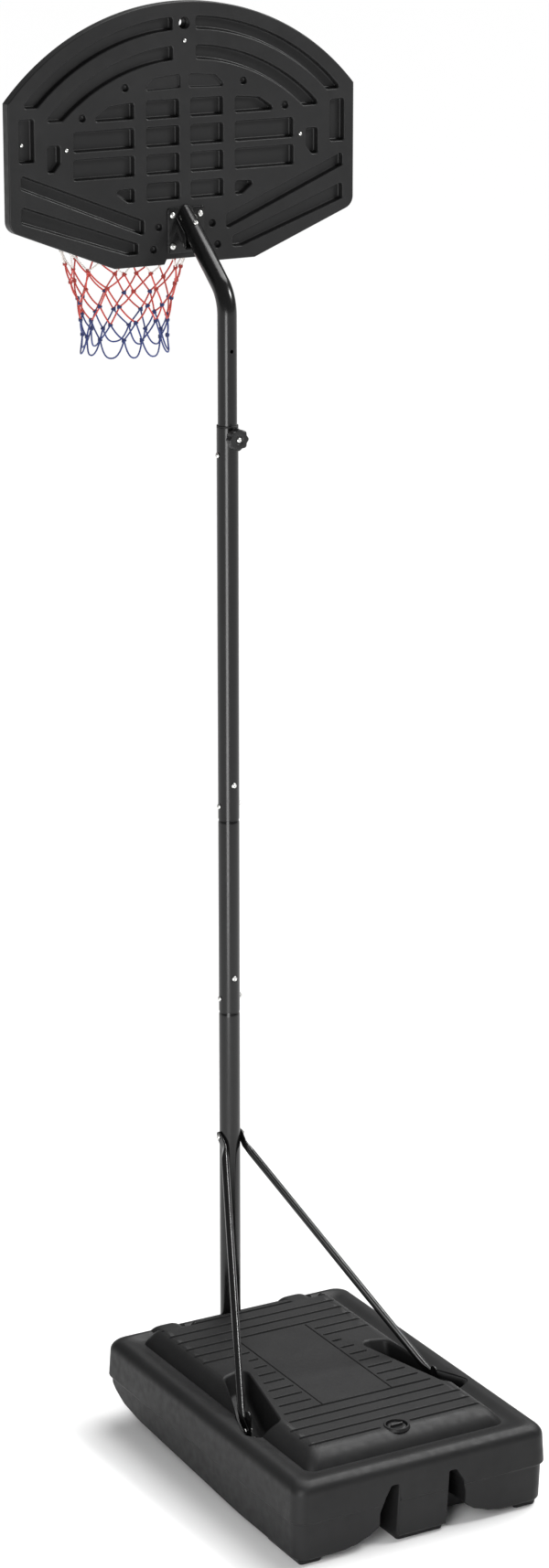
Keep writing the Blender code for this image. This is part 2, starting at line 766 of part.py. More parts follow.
def front_relief(side, wall=0.0):
    """Outside the wheels the lower front is set back and the floor rises to it,
    so that the tank clears the ground when it is tipped onto its wheels."""
    front = -TANK_FRONT - 0.02
    back = RELIEF_BACK - TANK_FRONT
    fall = LEDGE_HEIGHT - RELIEF_KNEE_HEIGHT
    foot = TANK_REAR - TANK_DRAFT - FOOT_MARGIN - FOOT_LENGTH - 2 * FOOT_SLANT
    outline = [
        (front, -0.02), (foot, -0.02), (foot, TANK_LIFT - 0.0005),
        (RELIEF_KNEE, RELIEF_KNEE_HEIGHT),
        (back + 0.45 * (RELIEF_KNEE - back), RELIEF_KNEE_HEIGHT + 0.20 * fall),
        (back + 0.15 * (RELIEF_KNEE - back), RELIEF_KNEE_HEIGHT + 0.50 * fall),
        (back, LEDGE_HEIGHT - 0.015),
        (back, LEDGE_HEIGHT), (front, LEDGE_HEIGHT),
    ]
    inner = WHEEL_X + WELL_HALF_WIDTH + RELIEF_FROM_WELL - wall
    ends = sorted((side * inner, side * (TANK_HALF + 0.02)))
    return prism(offset_outline(outline, wall), "X", *ends)


def deck_notch(side, wall=0.0):
    """A step down in the deck's front edge, where the top of the wheel well shows."""
    front = -TANK_FRONT - 0.02
    sections = []
    floor = SHOULDER_HEIGHT - 0.5 * VALLEY_DEPTH - wall
    for height, draft in ((floor, 0.0), (DECK_HEIGHT + 0.02, NOTCH_DRAFT)):
        half = WELL_HALF_WIDTH + HUMP_MARGIN + NOTCH_MARGIN + draft + wall
        back = HUMP_BACK + draft + wall
        ends = (side * WHEEL_X - half, side * WHEEL_X + half)
        ring = [(ends[0], front), (ends[1], front), (ends[1], back), (ends[0], back)]
        sections.append([(x, y, height) for x, y in ring])
    return loft(sections)


def wheel_hump(side):
    """The rounded top of the wheel well, a little above the tank's border."""
    half = WELL_HALF_WIDTH + HUMP_MARGIN
    base = SHOULDER_HEIGHT - HUMP_FOOT
    arch = [(1.0, 0.010), (0.85, 0.004), (0.5, 0.0)]
    sections = []
    for behind, drop in HUMP_STATIONS:
        top = SHOULDER_HEIGHT + HUMP_RISE - drop
        right = [(share * half, top - down) for share, down in arch]
        ring = [(half, base)] + right + [(-x, z) for x, z in reversed(right)] + [(-half, base)]
        sections.append([(side * WHEEL_X + x, behind - TANK_FRONT, z) for x, z in ring])
    return loft(sections)


def make_tank(stand):
    tank = link_mesh("base_tank", loft(tank_sections(0.0)), TANK_PLASTIC, stand)
    combine(tank, "feet", tank_feet(), "UNION")
    for side, _, word in SIDES:
        combine(tank, f"notch_{word}", deck_notch(side))
        combine(tank, f"hump_{word}", wheel_hump(side), "UNION")
    boss = bmesh.new()
    bmesh.ops.create_cone(
        boss, cap_ends=True, segments=24, radius1=BOSS_RADIUS, radius2=BOSS_RADIUS - 0.003,
        depth=BOSS_HEIGHT * 2, matrix=Matrix.Translation((0, NECK_Y, DECK_HEIGHT)),
    )
    combine(tank, "boss", boss, "UNION")
    combine(tank, "grooves", grooves())
    combine(tank, "panel_edge", panel_edge())
    cavity = link_cutter("base_tank_cavity", loft(tank_sections(TANK_WALL)), stand)
    keep_out = {
        "pole_slot": pole_slot(TANK_WALL), "axle": axle_groove(TANK_WALL), "cap_seat": cap_seat(TANK_WALL),
    }
    for side, _, word in SIDES:
        keep_out[f"pocket_{word}"] = pocket(side, TANK_WALL)
        keep_out[f"well_{word}"] = wheel_well(side, TANK_WALL)
        keep_out[f"notch_{word}"] = deck_notch(side, TANK_WALL)
        keep_out[f"slot_{word}"] = rear_slot(side, TANK_WALL)
        keep_out[f"relief_{word}"] = front_relief(side, TANK_WALL)
    for name, bm in keep_out.items():
        combine(cavity, f"keep_{name}", bm)
    combine(tank, "pole_slot", pole_slot())
    combine(tank, "axle_groove", axle_groove())
    combine(tank, "cap_seat", cap_seat())
    for side, _, word in SIDES:
        combine(tank, f"pocket_{word}", pocket(side))
        combine(tank, f"well_{word}", wheel_well(side))
        combine(tank, f"slot_{word}", rear_slot(side))
        combine(tank, f"relief_{word}", front_relief(side))
    hollow = tank.modifiers.new("cavity", "BOOLEAN")
    hollow.operation = "DIFFERENCE"
    hollow.object = cavity
    combine(tank, "neck", rod((0, NECK_Y, DECK_HEIGHT), "Z", NECK_RADIUS, 0.06, 24))
    return tank


def make_cap(stand):
    """The screw cap of the fill neck and its sealing ring, on the cap's own axis."""
    seat = DECK_HEIGHT - CAP_SEAT_DEPTH + BOSS_HEIGHT
    axis = new_empty("cap_axis", (0, NECK_Y, seat), stand)
    ring = 0.0016
    flange = GAP + ring + GAP
    plug = NECK_RADIUS - 0.0008
    turned(
        "cap_gasket", sleeve(CAP_RADIUS - 0.001, NECK_RADIUS + 0.0005, GAP, GAP + ring), RUBBER, axis, sides=16,
    )
    top = flange + 0.0045
    cap = turned(
        "fill_cap",
        [
            (0.0, top), (CAP_RADIUS - 0.002, top), (CAP_RADIUS, top - 0.002), (CAP_RADIUS, flange),
            (plug, flange), (plug, -CAP_PLUG_LENGTH), (plug - 0.0025, -CAP_PLUG_LENGTH),
            (plug - 0.0025, flange), (0.0, flange),
        ],
        BLACK_PLASTIC, axis,
    )
    grip = box((-0.016, -0.003, top - 0.001), (0.016, 0.003, top + 0.006))
    combine(cap, "grip", grip, "UNION")
    return cap


# Wheels and axle


def make_wheel(name, side, stand):
    half = WHEEL_WIDTH / 2
    bore = AXLE_RADIUS + AXLE_CLEARANCE
    hub = 0.0135
    rim = WHEEL_RADIUS - 0.011
    web = 0.004
    face = half + WHEEL_HUB_RISE
    profile = [
        (WHEEL_RADIUS - 0.003, half), (WHEEL_RADIUS, half - 0.004), (WHEEL_RADIUS, -half + 0.004),
        (WHEEL_RADIUS - 0.003, -half), (rim, -half), (rim, -web), (hub, -web), (hub, -face),
        (bore, -face), (bore, face), (hub, face), (hub, web), (rim, web), (rim, half),
    ]
    location = (side * WHEEL_X, 0, AXLE_Z)
    wheel = turned(name, profile, BLACK_PLASTIC, stand, location, (0, math.radians(90), 0), 18)
    ribs = bmesh.new()
    for index in range(6):
        turn = Matrix.Rotation(math.tau * index / 6, 4, "Z")
        verts = add_box(ribs, (hub - 0.001, -0.0018, -half + 0.004), (rim + 0.001, 0.0018, half - 0.004))
        bmesh.ops.transform(ribs, matrix=turn, verts=verts)
    placed = Matrix.Translation(location) @ Matrix.Rotation(math.radians(90), 4, "Y")
    bmesh.ops.transform(ribs, matrix=placed, verts=ribs.verts)
    combine(wheel, "ribs", ribs, "UNION")
    return wheel


def make_axle(stand):
    end = WHEEL_X + WHEEL_WIDTH / 2 + WHEEL_HUB_RISE + GAP
    cap_length = 0.004
    length = 2 * (end + cap_length + 0.002)
    link_mesh("wheel_axle", rod((0, 0, AXLE_Z), "X", AXLE_RADIUS, length, 16), ZINC, stand)
    profile = [(0.011, 0.0), (0.009, cap_length), (AXLE_RADIUS + GAP, cap_length), (AXLE_RADIUS + GAP, 0.0)]
    for sign, axis, word in SIDES:
        spun(f"axle_push_nut_{word}", profile, (sign * end, 0, AXLE_Z), axis, stand, 14)


# Pole


def pole_profile(foot, top, swaged):
    """Half profile of a tube, with a reduced upper end where the next tube slips over it."""
    if not swaged:
        return sleeve(POLE_RADIUS, POLE_BORE, foot, top)
    shoulder = top - GAP
    cone = shoulder - SWAGE_CONE
    end = top + SWAGE_LENGTH
    inner = SWAGE_RADIUS - POLE_WALL
    return [
        (SWAGE_RADIUS - 0.001, end), (SWAGE_RADIUS, end - 0.002), (SWAGE_RADIUS, shoulder),
        (POLE_RADIUS - 0.0002, cone), (POLE_RADIUS, cone - 0.001), (POLE_RADIUS, foot), (POLE_BORE, foot),
        (POLE_BORE, cone - 0.002), (inner, shoulder - 0.002), (inner, end),
    ]


def cross_holes(piece, name, height, axis):
    reach = 4 * POLE_RADIUS
    combine(piece, name, rod((0, 0, height), axis, BOLT_RADIUS + BOLT_CLEARANCE, reach, 10))


def make_poles(stand):
    lower = turned("pole_lower", pole_profile(POLE_FOOT, SEAM_LOW, True), BLACK_PAINT, stand)
    middle = turned("pole_middle", pole_profile(SEAM_LOW, SEAM_HIGH, True), BLACK_PAINT, stand)
    upper = turned("pole_upper", pole_profile(SEAM_HIGH, UPPER_TOP, False), BLACK_PAINT, stand)
    for seam, below, above in ((SEAM_LOW, lower, middle), (SEAM_HIGH, middle, upper)):
        word = "low" if seam == SEAM_LOW else "high"
        for piece in (below, above):
            cross_holes(piece, f"cross_{word}", seam + CROSS_BOLT_RISE, "X")
            cross_holes(piece, f"rear_{word}", seam + REAR_BOLT_RISE, "Y")
    cross_holes(lower, "strut", STRUT_TOP_Z, "X")
    axle_hole = rod((0, 0, AXLE_Z), "X", AXLE_RADIUS + AXLE_CLEARANCE, 4 * POLE_RADIUS, 20)
    combine(lower, "axle", axle_hole)
    clamp_hole = rod((0, POLE_RADIUS, KNOB_Z), "Y", CLAMP_SCREW_RADIUS + BOLT_CLEARANCE, POLE_RADIUS, 10)
    combine(upper, "clamp", clamp_hole)
    bush_hole = rod((POLE_RADIUS, 0, BUSH_SCREW_Z), "X", BOLT_RADIUS + BOLT_CLEARANCE, POLE_RADIUS, 10)
    combine(upper, "bush_screw", bush_hole)


def bolt_profile(radius, length):
    """Domed head above z = 0 and a shank below it."""
    head = radius + (BOLT_HEAD_RADIUS - BOLT_RADIUS)
    return [
        (0.0, BOLT_HEAD_HEIGHT), (0.75 * head, 0.72 * BOLT_HEAD_HEIGHT), (head, 0.0),
        (radius, 0.0), (radius, -length), (0.0, -length),
    ]


def nut_profile(radius, height=NUT_HEIGHT):
    bore = (radius + GAP) / math.cos(math.pi / 6)
    outer = (radius + 0.0035) / math.cos(math.pi / 6)
    return [(outer, height), (outer, 0.0), (bore, 0.0), (bore, height)]


def make_joint_bolts(stand):
    """Two through bolts at each joint of the pole, one across and one to the rear."""
    seat = POLE_RADIUS + GAP
    bolt = bolt_profile(BOLT_RADIUS, 2 * seat + BOLT_TAIL)
    nut = nut_profile(BOLT_RADIUS)
    for seam, word in ((SEAM_LOW, "low"), (SEAM_HIGH, "high")):
        cross = seam + CROSS_BOLT_RISE
        rear = seam + REAR_BOLT_RISE
        spun(f"joint_bolt_{word}_cross", bolt, (seat, 0, cross), "X", stand)
        spun(f"joint_nut_{word}_cross", nut, (-seat, 0, cross), "-X", stand, 6)
        spun(f"joint_bolt_{word}_rear", bolt, (0, seat, rear), "Y", stand)
        spun(f"joint_nut_{word}_rear", nut, (0, -seat, rear), "-Y", stand, 6)


# Struts


def strut_sections(side):
    """Rings from the flat upper tab, along the round tube, to the flat lower tab."""
    top = Vector((0.0, STRUT_TOP_Z))
    foot = Vector((STRUT_FOOT_Y, STRUT_FOOT_Z))
    length = (foot - top).length
    down = (foot - top).normalized()
    across = Vector((-down.y, down.x))
    stations = [
        (-0.0125, 0.35, 0.0), (-0.0095, 0.78, 0.0), (-0.004, 0.97, 0.0), (0.0, 1.0, 0.0),
        (STRUT_TAB_LENGTH, 1.0, 0.0), (STRUT_TAB_LENGTH + 0.014, 0.9, 0.55), (STRUT_TAB_LENGTH + 0.030, 0.0, 1.0),
    ]
    stations += [(length - along, width, roundness) for along, width, roundness in reversed(stations)]
    sections = []
    for along, width, roundness in stations:
        share = min(max((along - STRUT_TAB_LENGTH) / (length - 2 * STRUT_TAB_LENGTH), 0.0), 1.0)
        centre_x = STRUT_TOP_X + (STRUT_FOOT_X - STRUT_TOP_X) * share
        if roundness == 1.0:
            half_x = half_across = STRUT_RADIUS
            power = 1.0
        else:
            half_x = STRUT_TAB / 2 + (STRUT_RADIUS - STRUT_TAB / 2) * roundness
            half_across = STRUT_TAB_HALF * width
            power = 0.45 + 0.55 * roundness
        centre = top + down * along
        ring = []
        for index in range(12):
            angle = math.tau * (index + 0.5) / 12
            cosine, sine = math.cos(angle), math.sin(angle)
            x = half_x * math.copysign(abs(cosine) ** power, cosine)
            out = half_across * math.copysign(abs(sine) ** power, sine)
            point = centre + across * out
            ring.append((side * (centre_x + x), point.x, point.y))
        sections.append(ring)
    return sections


def make_struts(stand):
    hole = BOLT_RADIUS + BOLT_CLEARANCE
    for side, name in ((1, "strut_left"), (-1, "strut_right")):
        strut = link_mesh(name, loft(strut_sections(side)), BLACK_PAINT, stand)
        combine(strut, "top_hole", rod((side * STRUT_TOP_X, 0, STRUT_TOP_Z), "X", hole, 0.03, 10))
        foot = (side * STRUT_FOOT_X, STRUT_FOOT_Y, STRUT_FOOT_Z)
        combine(strut, "foot_hole", rod(foot, "X", hole, 0.03, 10))
    reach = STRUT_TOP_X + STRUT_TAB / 2 + GAP
    bolt = bolt_profile(BOLT_RADIUS, 2 * reach + BOLT_TAIL)
    spun("strut_top_bolt", bolt, (reach, 0, STRUT_TOP_Z), "X", stand)
    spun("strut_top_nut", nut_profile(BOLT_RADIUS), (-reach, 0, STRUT_TOP_Z), "-X", stand, 6)


def make_foot_brackets(stand):
    """An upright ear on each pocket floor, with the bolt and nut that hold the strut to it."""
    floor = POCKET_FLOOR + GAP
    ear_x = STRUT_FOOT_X - STRUT_TAB / 2 - GAP
    hole = BOLT_RADIUS + BOLT_CLEARANCE
    top = floor + EAR_HEIGHT
    outline = [(STRUT_FOOT_Y - EAR_HALF, floor), (STRUT_FOOT_Y + EAR_HALF, floor)]
    outline += arc_points((STRUT_FOOT_Y, top - EAR_HALF), EAR_HALF, 0.0, math.pi, 8)
    outer = STRUT_FOOT_X + STRUT_TAB / 2 + GAP
    inner = ear_x - EAR_THICKNESS - GAP
    screw_x = ear_x - 0.018
    for side, axis, word in SIDES:
        ear = prism(outline, "X", *sorted((side * ear_x, side * (ear_x - EAR_THICKNESS))))
        piece = link_mesh(f"foot_bracket_{word}", ear, BLACK_PAINT, stand, smooth=False)
        base_ends = sorted((side * (ear_x - 0.5 * EAR_THICKNESS), side * (ear_x - 0.030)))
        low = (base_ends[0], STRUT_FOOT_Y - EAR_HALF + 0.001, floor)
        high = (base_ends[1], STRUT_FOOT_Y + EAR_HALF - 0.001, floor + EAR_THICKNESS)
        combine(piece, "flange", box(low, high), "UNION")
        combine(piece, "hole", rod((side * ear_x, STRUT_FOOT_Y, STRUT_FOOT_Z), "X", hole, 0.02, 10))
        combine(piece, "screw_hole", rod((side * screw_x, STRUT_FOOT_Y, floor), "Z", hole, 0.02, 10))
        back = "-X" if side > 0 else "X"
        bolt = bolt_profile(BOLT_RADIUS, outer - inner + BOLT_TAIL)
        spun(f"foot_bolt_{word}", bolt, (side * outer, STRUT_FOOT_Y, STRUT_FOOT_Z), axis, stand)
        nut = nut_profile(BOLT_RADIUS)
        spun(f"foot_nut_{word}", nut, (side * inner, STRUT_FOOT_Y, STRUT_FOOT_Z), back, stand, 6)
        screw = bolt_profile(BOLT_RADIUS, EAR_THICKNESS + GAP)
        place = (side * screw_x, STRUT_FOOT_Y, floor + EAR_THICKNESS + GAP)
        spun(f"foot_screw_{word}", screw, place, "Z", stand)


# Height clamp


def make_clamp(stand):
    """Welded nut, knob with its screw, and the guide bush in the mouth of the upper pole."""
    nut_far = POLE_RADIUS + CLAMP_NUT_LENGTH
    nut = turned(
        "clamp_nut",
        sleeve(CLAMP_NUT_RADIUS, CLAMP_SCREW_RADIUS + GAP, 0.6 * POLE_RADIUS, nut_far),
        BLACK_PAINT, stand, (0, 0, KNOB_Z), (math.radians(-90), 0, 0), 16,
    )
    combine(nut, "saddle", rod((0, 0, KNOB_Z), "Z", POLE_RADIUS + GAP, 0.1, 48))
    axis = new_empty("knob_axis", (0, 0, KNOB_Z), stand)
    knob_near = nut_far + 0.002
    knob_far = knob_near + KNOB_THICKNESS
    tip = TOP_RADIUS + SLIDE_CLEARANCE
    turned(
        "knob_screw",
        [
            (0.0, knob_far - 0.006), (CLAMP_SCREW_RADIUS, knob_far - 0.006),
            (CLAMP_SCREW_RADIUS, tip + 0.001), (CLAMP_SCREW_RADIUS - 0.001, tip), (0.0, tip),
        ],
        ZINC, axis, (0, 0, 0), (math.radians(-90), 0, 0), 12,
    )
    outline = []
    for index in range(KNOB_LOBES * 4):
        angle = math.tau * index / (KNOB_LOBES * 4)
        radius = KNOB_RADIUS - 0.0016 * (1 - math.cos(KNOB_LOBES * angle))
        outline.append((radius * math.cos(angle), radius * math.sin(angle)))
    grip = bmesh.new()
    add_prism(grip, outline, "Y", knob_near, knob_far)
    rims = [e for e in grip.edges if abs(e.verts[0].co.y - e.verts[1].co.y) < 1e-6]
    bmesh.ops.bevel(
        grip, geom=rims, offset=0.002, offset_type="OFFSET", segments=1, profile=0.5,
        affect="EDGES", clamp_overlap=True, material=-1,
    )
    knob = link_mesh("height_knob", grip, BLACK_PLASTIC, axis)
    bore = CLAMP_SCREW_RADIUS + GAP
    combine(knob, "bore", rod((0, knob_near, 0), "Y", bore, 2 * (KNOB_THICKNESS - 0.006 + GAP), 20))
    combine(knob, "dish", rod((0, knob_far, 0), "Y", 0.0095, 0.004, 24))
    turned(
        "knob_insert", [(0.0, 0.0036), (0.0035, 0.0033), (0.006, 0.0018), (0.006, 0.0), (0.0, 0.0)],
        ZINC, axis, (0, knob_far - 0.002 + GAP, 0), (math.radians(-90), 0, 0), 12,
    )
    bush_outer = POLE_BORE - GAP
    bush_inner = TOP_RADIUS + SLIDE_CLEARANCE
    seat = UPPER_TOP + GAP
    bush = turned(
        "guide_bush",
        [
            (POLE_RADIUS - 0.001, seat + BUSH_COLLAR), (POLE_RADIUS, seat + BUSH_COLLAR - 0.001),
            (POLE_RADIUS, seat), (bush_outer, seat), (bush_outer, UPPER_TOP - BUSH_LENGTH),
            (bush_inner, UPPER_TOP - BUSH_LENGTH), (bush_inner, seat + BUSH_COLLAR),
        ],
        BLACK_PLASTIC, stand, sides=16,
    )
    clamp = rod((0, POLE_RADIUS, KNOB_Z), "Y", CLAMP_SCREW_RADIUS + BOLT_CLEARANCE, POLE_RADIUS, 10)
    combine(bush, "clamp", clamp)
    screw_hole = rod((POLE_RADIUS, 0, BUSH_SCREW_Z), "X", BOLT_RADIUS + BOLT_CLEARANCE, POLE_RADIUS, 10)
    combine(bush, "screw", screw_hole)
    seat_x = POLE_RADIUS + GAP
    screw = bolt_profile(BOLT_RADIUS, seat_x - bush_inner - 0.0002)
    spun("bush_screw", screw, (seat_x, 0, BUSH_SCREW_Z), "X", stand)


# Arm, bracket and backboard

ARM = Vector((0, -math.cos(ARM_SLOPE), math.sin(ARM_SLOPE)))
ARM_NORMAL = Vector((0, math.sin(ARM_SLOPE), math.cos(ARM_SLOPE)))


def arm_route():
    """Centre line of the top tube: straight, one bend, then straight to the bracket."""
    turn = math.pi / 2 - ARM_SLOPE
    tangent = ARM_BEND_RADIUS * math.tan(turn / 2)
    start = ARM_CORNER_Z - tangent
    route = [(0, 0, TOP_TUBE_FOOT)]
    steps = 8
    for step in range(steps + 1):
        angle = turn * step / steps
        y = -ARM_BEND_RADIUS * (1 - math.cos(angle))
        route.append((0, y, start + ARM_BEND_RADIUS * math.sin(angle)))
    reach = (ARM_OVERRUN - BOARD_BACK) / math.cos(ARM_SLOPE)
    route.append(tuple(Vector((0, 0, ARM_CORNER_Z)) + ARM * reach))
    return route


def arm_point(distance_from_board):
    """The point of the arm's centre line this far behind the board's back, along Y."""
    along = (-BOARD_BACK - distance_from_board) / math.cos(ARM_SLOPE)
    return Vector((0, 0, ARM_CORNER_Z)) + ARM * along


def make_top_tube(head):
    tube = link_mesh("top_tube", pipe_mesh("top_tube", [arm_route()], TOP_RADIUS, 4), BLACK_PAINT, head)
    route = arm_route()
    reach = 2 * TOP_RADIUS
    inner = [(0, 0, TOP_TUBE_FOOT - reach)] + route[1:]
    combine(tube, "bore", pipe_mesh("bore", [inner], TOP_RADIUS - TOP_WALL, 4))
    face = BOARD_BACK + PLATE_THICKNESS + 2 * GAP
    low = (-reach, face - 4 * reach, ARM_CORNER_Z)
    high = (reach, face, ARM_CORNER_Z + 8 * reach)
    combine(tube, "end", box(low, high))
    hole = CLAMP_SCREW_RADIUS + BOLT_CLEARANCE
    for step in (-1, 0, 1):
        height = KNOB_Z + step * HOLE_PITCH
        combine(tube, f"hole_{step + 1}", rod((0, TOP_RADIUS, height), "Y", hole, TOP_RADIUS, 10))
    bolt_at = arm_point(ARM_BOLT_BACK)
    combine(tube, "bolt", rod(bolt_at, ARM_NORMAL, BOLT_RADIUS + BOLT_CLEARANCE, 0.1, 10))
    return tube


def make_bracket(head):
    """Plate with a U channel under the arm's end, its bolt and nut."""
    back = BOARD_BACK + GAP
    half = PLATE_WIDTH / 2
    low = PLATE_CENTRE_Z - PLATE_HEIGHT / 2
    high = PLATE_CENTRE_Z + PLATE_HEIGHT / 2
    outline = rounded_rectangle(half, low, high, 0.006, 3)
    plate = prism(outline, "Y", back, back + PLATE_THICKNESS)
    bracket = link_mesh("arm_bracket", plate, BLACK_PAINT, head, smooth=False)
    inner = TOP_RADIUS + 2 * GAP
    outer = inner + PLATE_THICKNESS
    front = back + PLATE_THICKNESS / 2
    below = arm_point(0.0) - ARM_NORMAL * (TOP_RADIUS + 2 * GAP)
    slope = math.tan(ARM_SLOPE)
    drop = PLATE_THICKNESS / math.cos(ARM_SLOPE)

    def floor_z(y):
        return below.z + (below.y - y) * slope

    rear = back + CHANNEL_LENGTH
    cheek = [
        (front, floor_z(front) - drop), (rear, floor_z(rear) - drop),
        (rear, floor_z(rear) + CHEEK_RISE), (front, floor_z(front) + CHEEK_RISE),
    ]
    for side, word in ((1, "left"), (-1, "right")):
        combine(bracket, f"cheek_{word}", prism(cheek, "X", *sorted((side * inner, side * outer))), "UNION")
    floor = [
        (front, floor_z(front) - drop), (rear - 0.0004, floor_z(rear - 0.0004) - drop),
        (rear - 0.0004, floor_z(rear - 0.0004)), (front, floor_z(front)),
    ]
    overlap = inner + PLATE_THICKNESS / 2
    combine(bracket, "floor", prism(floor, "X", -overlap, overlap), "UNION")
    holes = bmesh.new()
    for x, z in plate_bolt_places():
        add_rod(holes, (x, back, z), "Y", PLATE_BOLT_RADIUS + BOLT_CLEARANCE, 0.02, 12)
    combine(bracket, "holes", holes)
    bolt_at = arm_point(ARM_BOLT_BACK)
    combine(bracket, "arm_bolt", rod(bolt_at, ARM_NORMAL, BOLT_RADIUS + BOLT_CLEARANCE, 0.1, 10))
    seat = TOP_RADIUS + GAP
    under = TOP_RADIUS + 3 * GAP + PLATE_THICKNESS
    bolt = bolt_profile(BOLT_RADIUS, seat + under + BOLT_TAIL)
    spun("arm_bolt", bolt, bolt_at + ARM_NORMAL * seat, ARM_NORMAL, head)
    spun("arm_nut", nut_profile(BOLT_RADIUS), bolt_at - ARM_NORMAL * under, -ARM_NORMAL, head, 6)


def plate_bolt_places():
    half = PLATE_BOLT_SPACING / 2
    return [(x, PLATE_CENTRE_Z + z) for x in (-half, half) for z in (-half, half)]


def make_plate_bolts(head):
    """Four long bolts clamp the arm bracket, the board and the rim bracket together."""
    back = BOARD_BACK + GAP + PLATE_THICKNESS + GAP
    front = BOARD_FRONT - GAP - PLATE_THICKNESS - GAP
    bolt = bolt_profile(PLATE_BOLT_RADIUS, back - front + BOLT_TAIL)
    nut = nut_profile(PLATE_BOLT_RADIUS)
    for index, (x, z) in enumerate(plate_bolt_places()):
        spun(f"bracket_bolt_{index + 1}", bolt, (x, back, z), "Y", head)
        spun(f"bracket_nut_{index + 1}", nut, (x, front, z), "-Y", head, 6)


def arch_centre():
    """Height of the centre of the board's arched top above its foot, and the arch's radius."""
    half = BOARD_WIDTH / 2
    rise = BOARD_HEIGHT - BOARD_SHOULDER
    radius = (half * half + rise * rise) / (2 * rise)
    return BOARD_HEIGHT - radius, radius


def board_outline(inset=0.0):
    """Outline in (x, height above the bottom): arched top, straight sides, tapered foot."""
    half = BOARD_WIDTH / 2
    centre, radius = arch_centre()
    sweep = math.asin(half / radius)
    up = math.pi / 2
    top = arc_points((0.0, centre), radius, up - sweep, up + sweep, 20)
    taper = math.atan2(BOARD_SIDE_FOOT, half - BOARD_FLAT_HALF)
    tangent = BOARD_CORNER * math.tan((up - taper) / 2)
    left_centre = (-half + BOARD_CORNER, BOARD_SIDE_FOOT + tangent)
    lower_left = arc_points(left_centre, BOARD_CORNER, math.pi, 3 * up - taper, 3)
    lower_right = [(-x, z) for x, z in reversed(lower_left)]
    notch_foot = NOTCH_HALF + NOTCH_SLANT
    bottom = [
        (-BOARD_FLAT_HALF, 0.0), (-notch_foot, 0.0), (-NOTCH_HALF, NOTCH_HEIGHT),
        (NOTCH_HALF, NOTCH_HEIGHT), (notch_foot, 0.0), (BOARD_FLAT_HALF, 0.0),
    ]
    points = top + lower_left + bottom + lower_right
    return offset_outline(points, -inset) if inset else points


def on_board(points):
    """Turn shares of the board's half width and height into metres."""
    return [(x * BOARD_WIDTH / 2, z * BOARD_HEIGHT) for x, z in points]


def arch_channel(outer_inset, inner_inset, foot):
    """A curved channel on the +X side, parallel to the board's arched top."""
    centre, radius = arch_centre()
    points = []
    for inset, backwards in ((outer_inset, False), (inner_inset, True)):
        ring = radius - inset
        start = math.asin((foot - centre) / ring)
        end = math.acos(SPINE_HALF / ring)
        run = arc_points((0.0, centre), ring, start, end, 7)
        points += run[::-1] if backwards else run
    return points


# Recesses on the +X half of the board's back: corners in shares of the half width and the height
GRID_CELLS = [
    [(0.033, low), (0.222, low), (0.222, high), (0.033, high)]
    for low, high in ((0.563, 0.633), (0.457, 0.532), (0.352, 0.427), (0.250, 0.317))
]
WING_CELLS = [
    [(0.293, 0.567), (0.542, 0.567), (0.436, 0.620), (0.293, 0.630)],
    [(0.293, 0.457), (0.636, 0.457), (0.636, 0.533), (0.293, 0.533)],
    [(0.293, 0.350), (0.638, 0.350), (0.638, 0.428), (0.293, 0.428)],
    [(0.293, 0.250), (0.333, 0.253), (0.418, 0.300), (0.293, 0.303)],
]
SIDE_CELLS = [
    [(0.858, 0.430), (0.942, 0.430), (0.942, 0.593), (0.858, 0.593)],
    [(0.713, 0.420), (0.749, 0.387), (0.784, 0.387), (0.784, 0.487), (0.713, 0.487)],
    [(0.240, 0.120), (0.933, 0.333), (0.933, 0.385), (0.240, 0.177)],
    [(0.276, 0.050), (0.333, 0.050), (0.933, 0.203), (0.933, 0.267), (0.276, 0.090)],
]
CROWN_CELL = [(0.024, 0.675), (0.244, 0.670), (0.178, 0.717), (0.024, 0.727)]
DIMPLES = [(0.342, 0.687), (0.587, 0.583), (0.156, 0.147), (0.187, 0.063)]
ARCH_CHANNELS = ((0.033, 0.062, 0.633), (0.098, 0.130, 0.577))
# Name, place in shares of the half width and the height, depth below the board's back
SCREWS = (
    ("top", 0.0, 0.852, 0.0), ("left", 0.678, 0.467, 0.0), ("right", -0.678, 0.467, 0.0),
    ("side", 0.912, 0.494, RECESS_DEPTH),
)


def recess_outlines():
    """Outlines in metres on the +X half, each mirrored later: (outline, depth)."""
    cells = []
    for outer, inner, foot in ARCH_CHANNELS:
        cells.append((arch_channel(outer, inner, foot * BOARD_HEIGHT), RECESS_DEPTH))
    cells += [(on_board(cell), RECESS_DEPTH) for cell in GRID_CELLS + WING_CELLS + SIDE_CELLS]
    cells.append((on_board(CROWN_CELL), SHALLOW_SHARE * RECESS_DEPTH))
    return cells


def recess_dimples():
    places = on_board(DIMPLES)
    return [(arc_points(place, DIMPLE_RADIUS, 0.0, math.tau * 5 / 6, 5), DIMPLE_DEPTH) for place in places]


def add_recess(bm, outline, depth, side, wall):
    """One moulded recess, straight-walled with a rounded-off floor, cut from the board's back."""
    outline = offset_outline(outline, wall) if wall else outline
    rim = [(side * x, BOARD_BOTTOM + z) for x, z in outline]
    if not wall:
        rim = offset_outline(rim, 0.0)
        floor = offset_outline(rim, -RECESS_ROUND)
        start = BOARD_BACK - depth + RECESS_ROUND
        add_loft(bm, [
            [(x, BOARD_BACK + 0.002, z) for x, z in offset_outline(rim, 0.001)],
            [(x, start, z) for x, z in rim],
            [(x, BOARD_BACK - depth, z) for x, z in floor],
        ])
        return
    add_prism(bm, rim, "Y", BOARD_BACK - depth - wall, BOARD_BACK + 0.002)


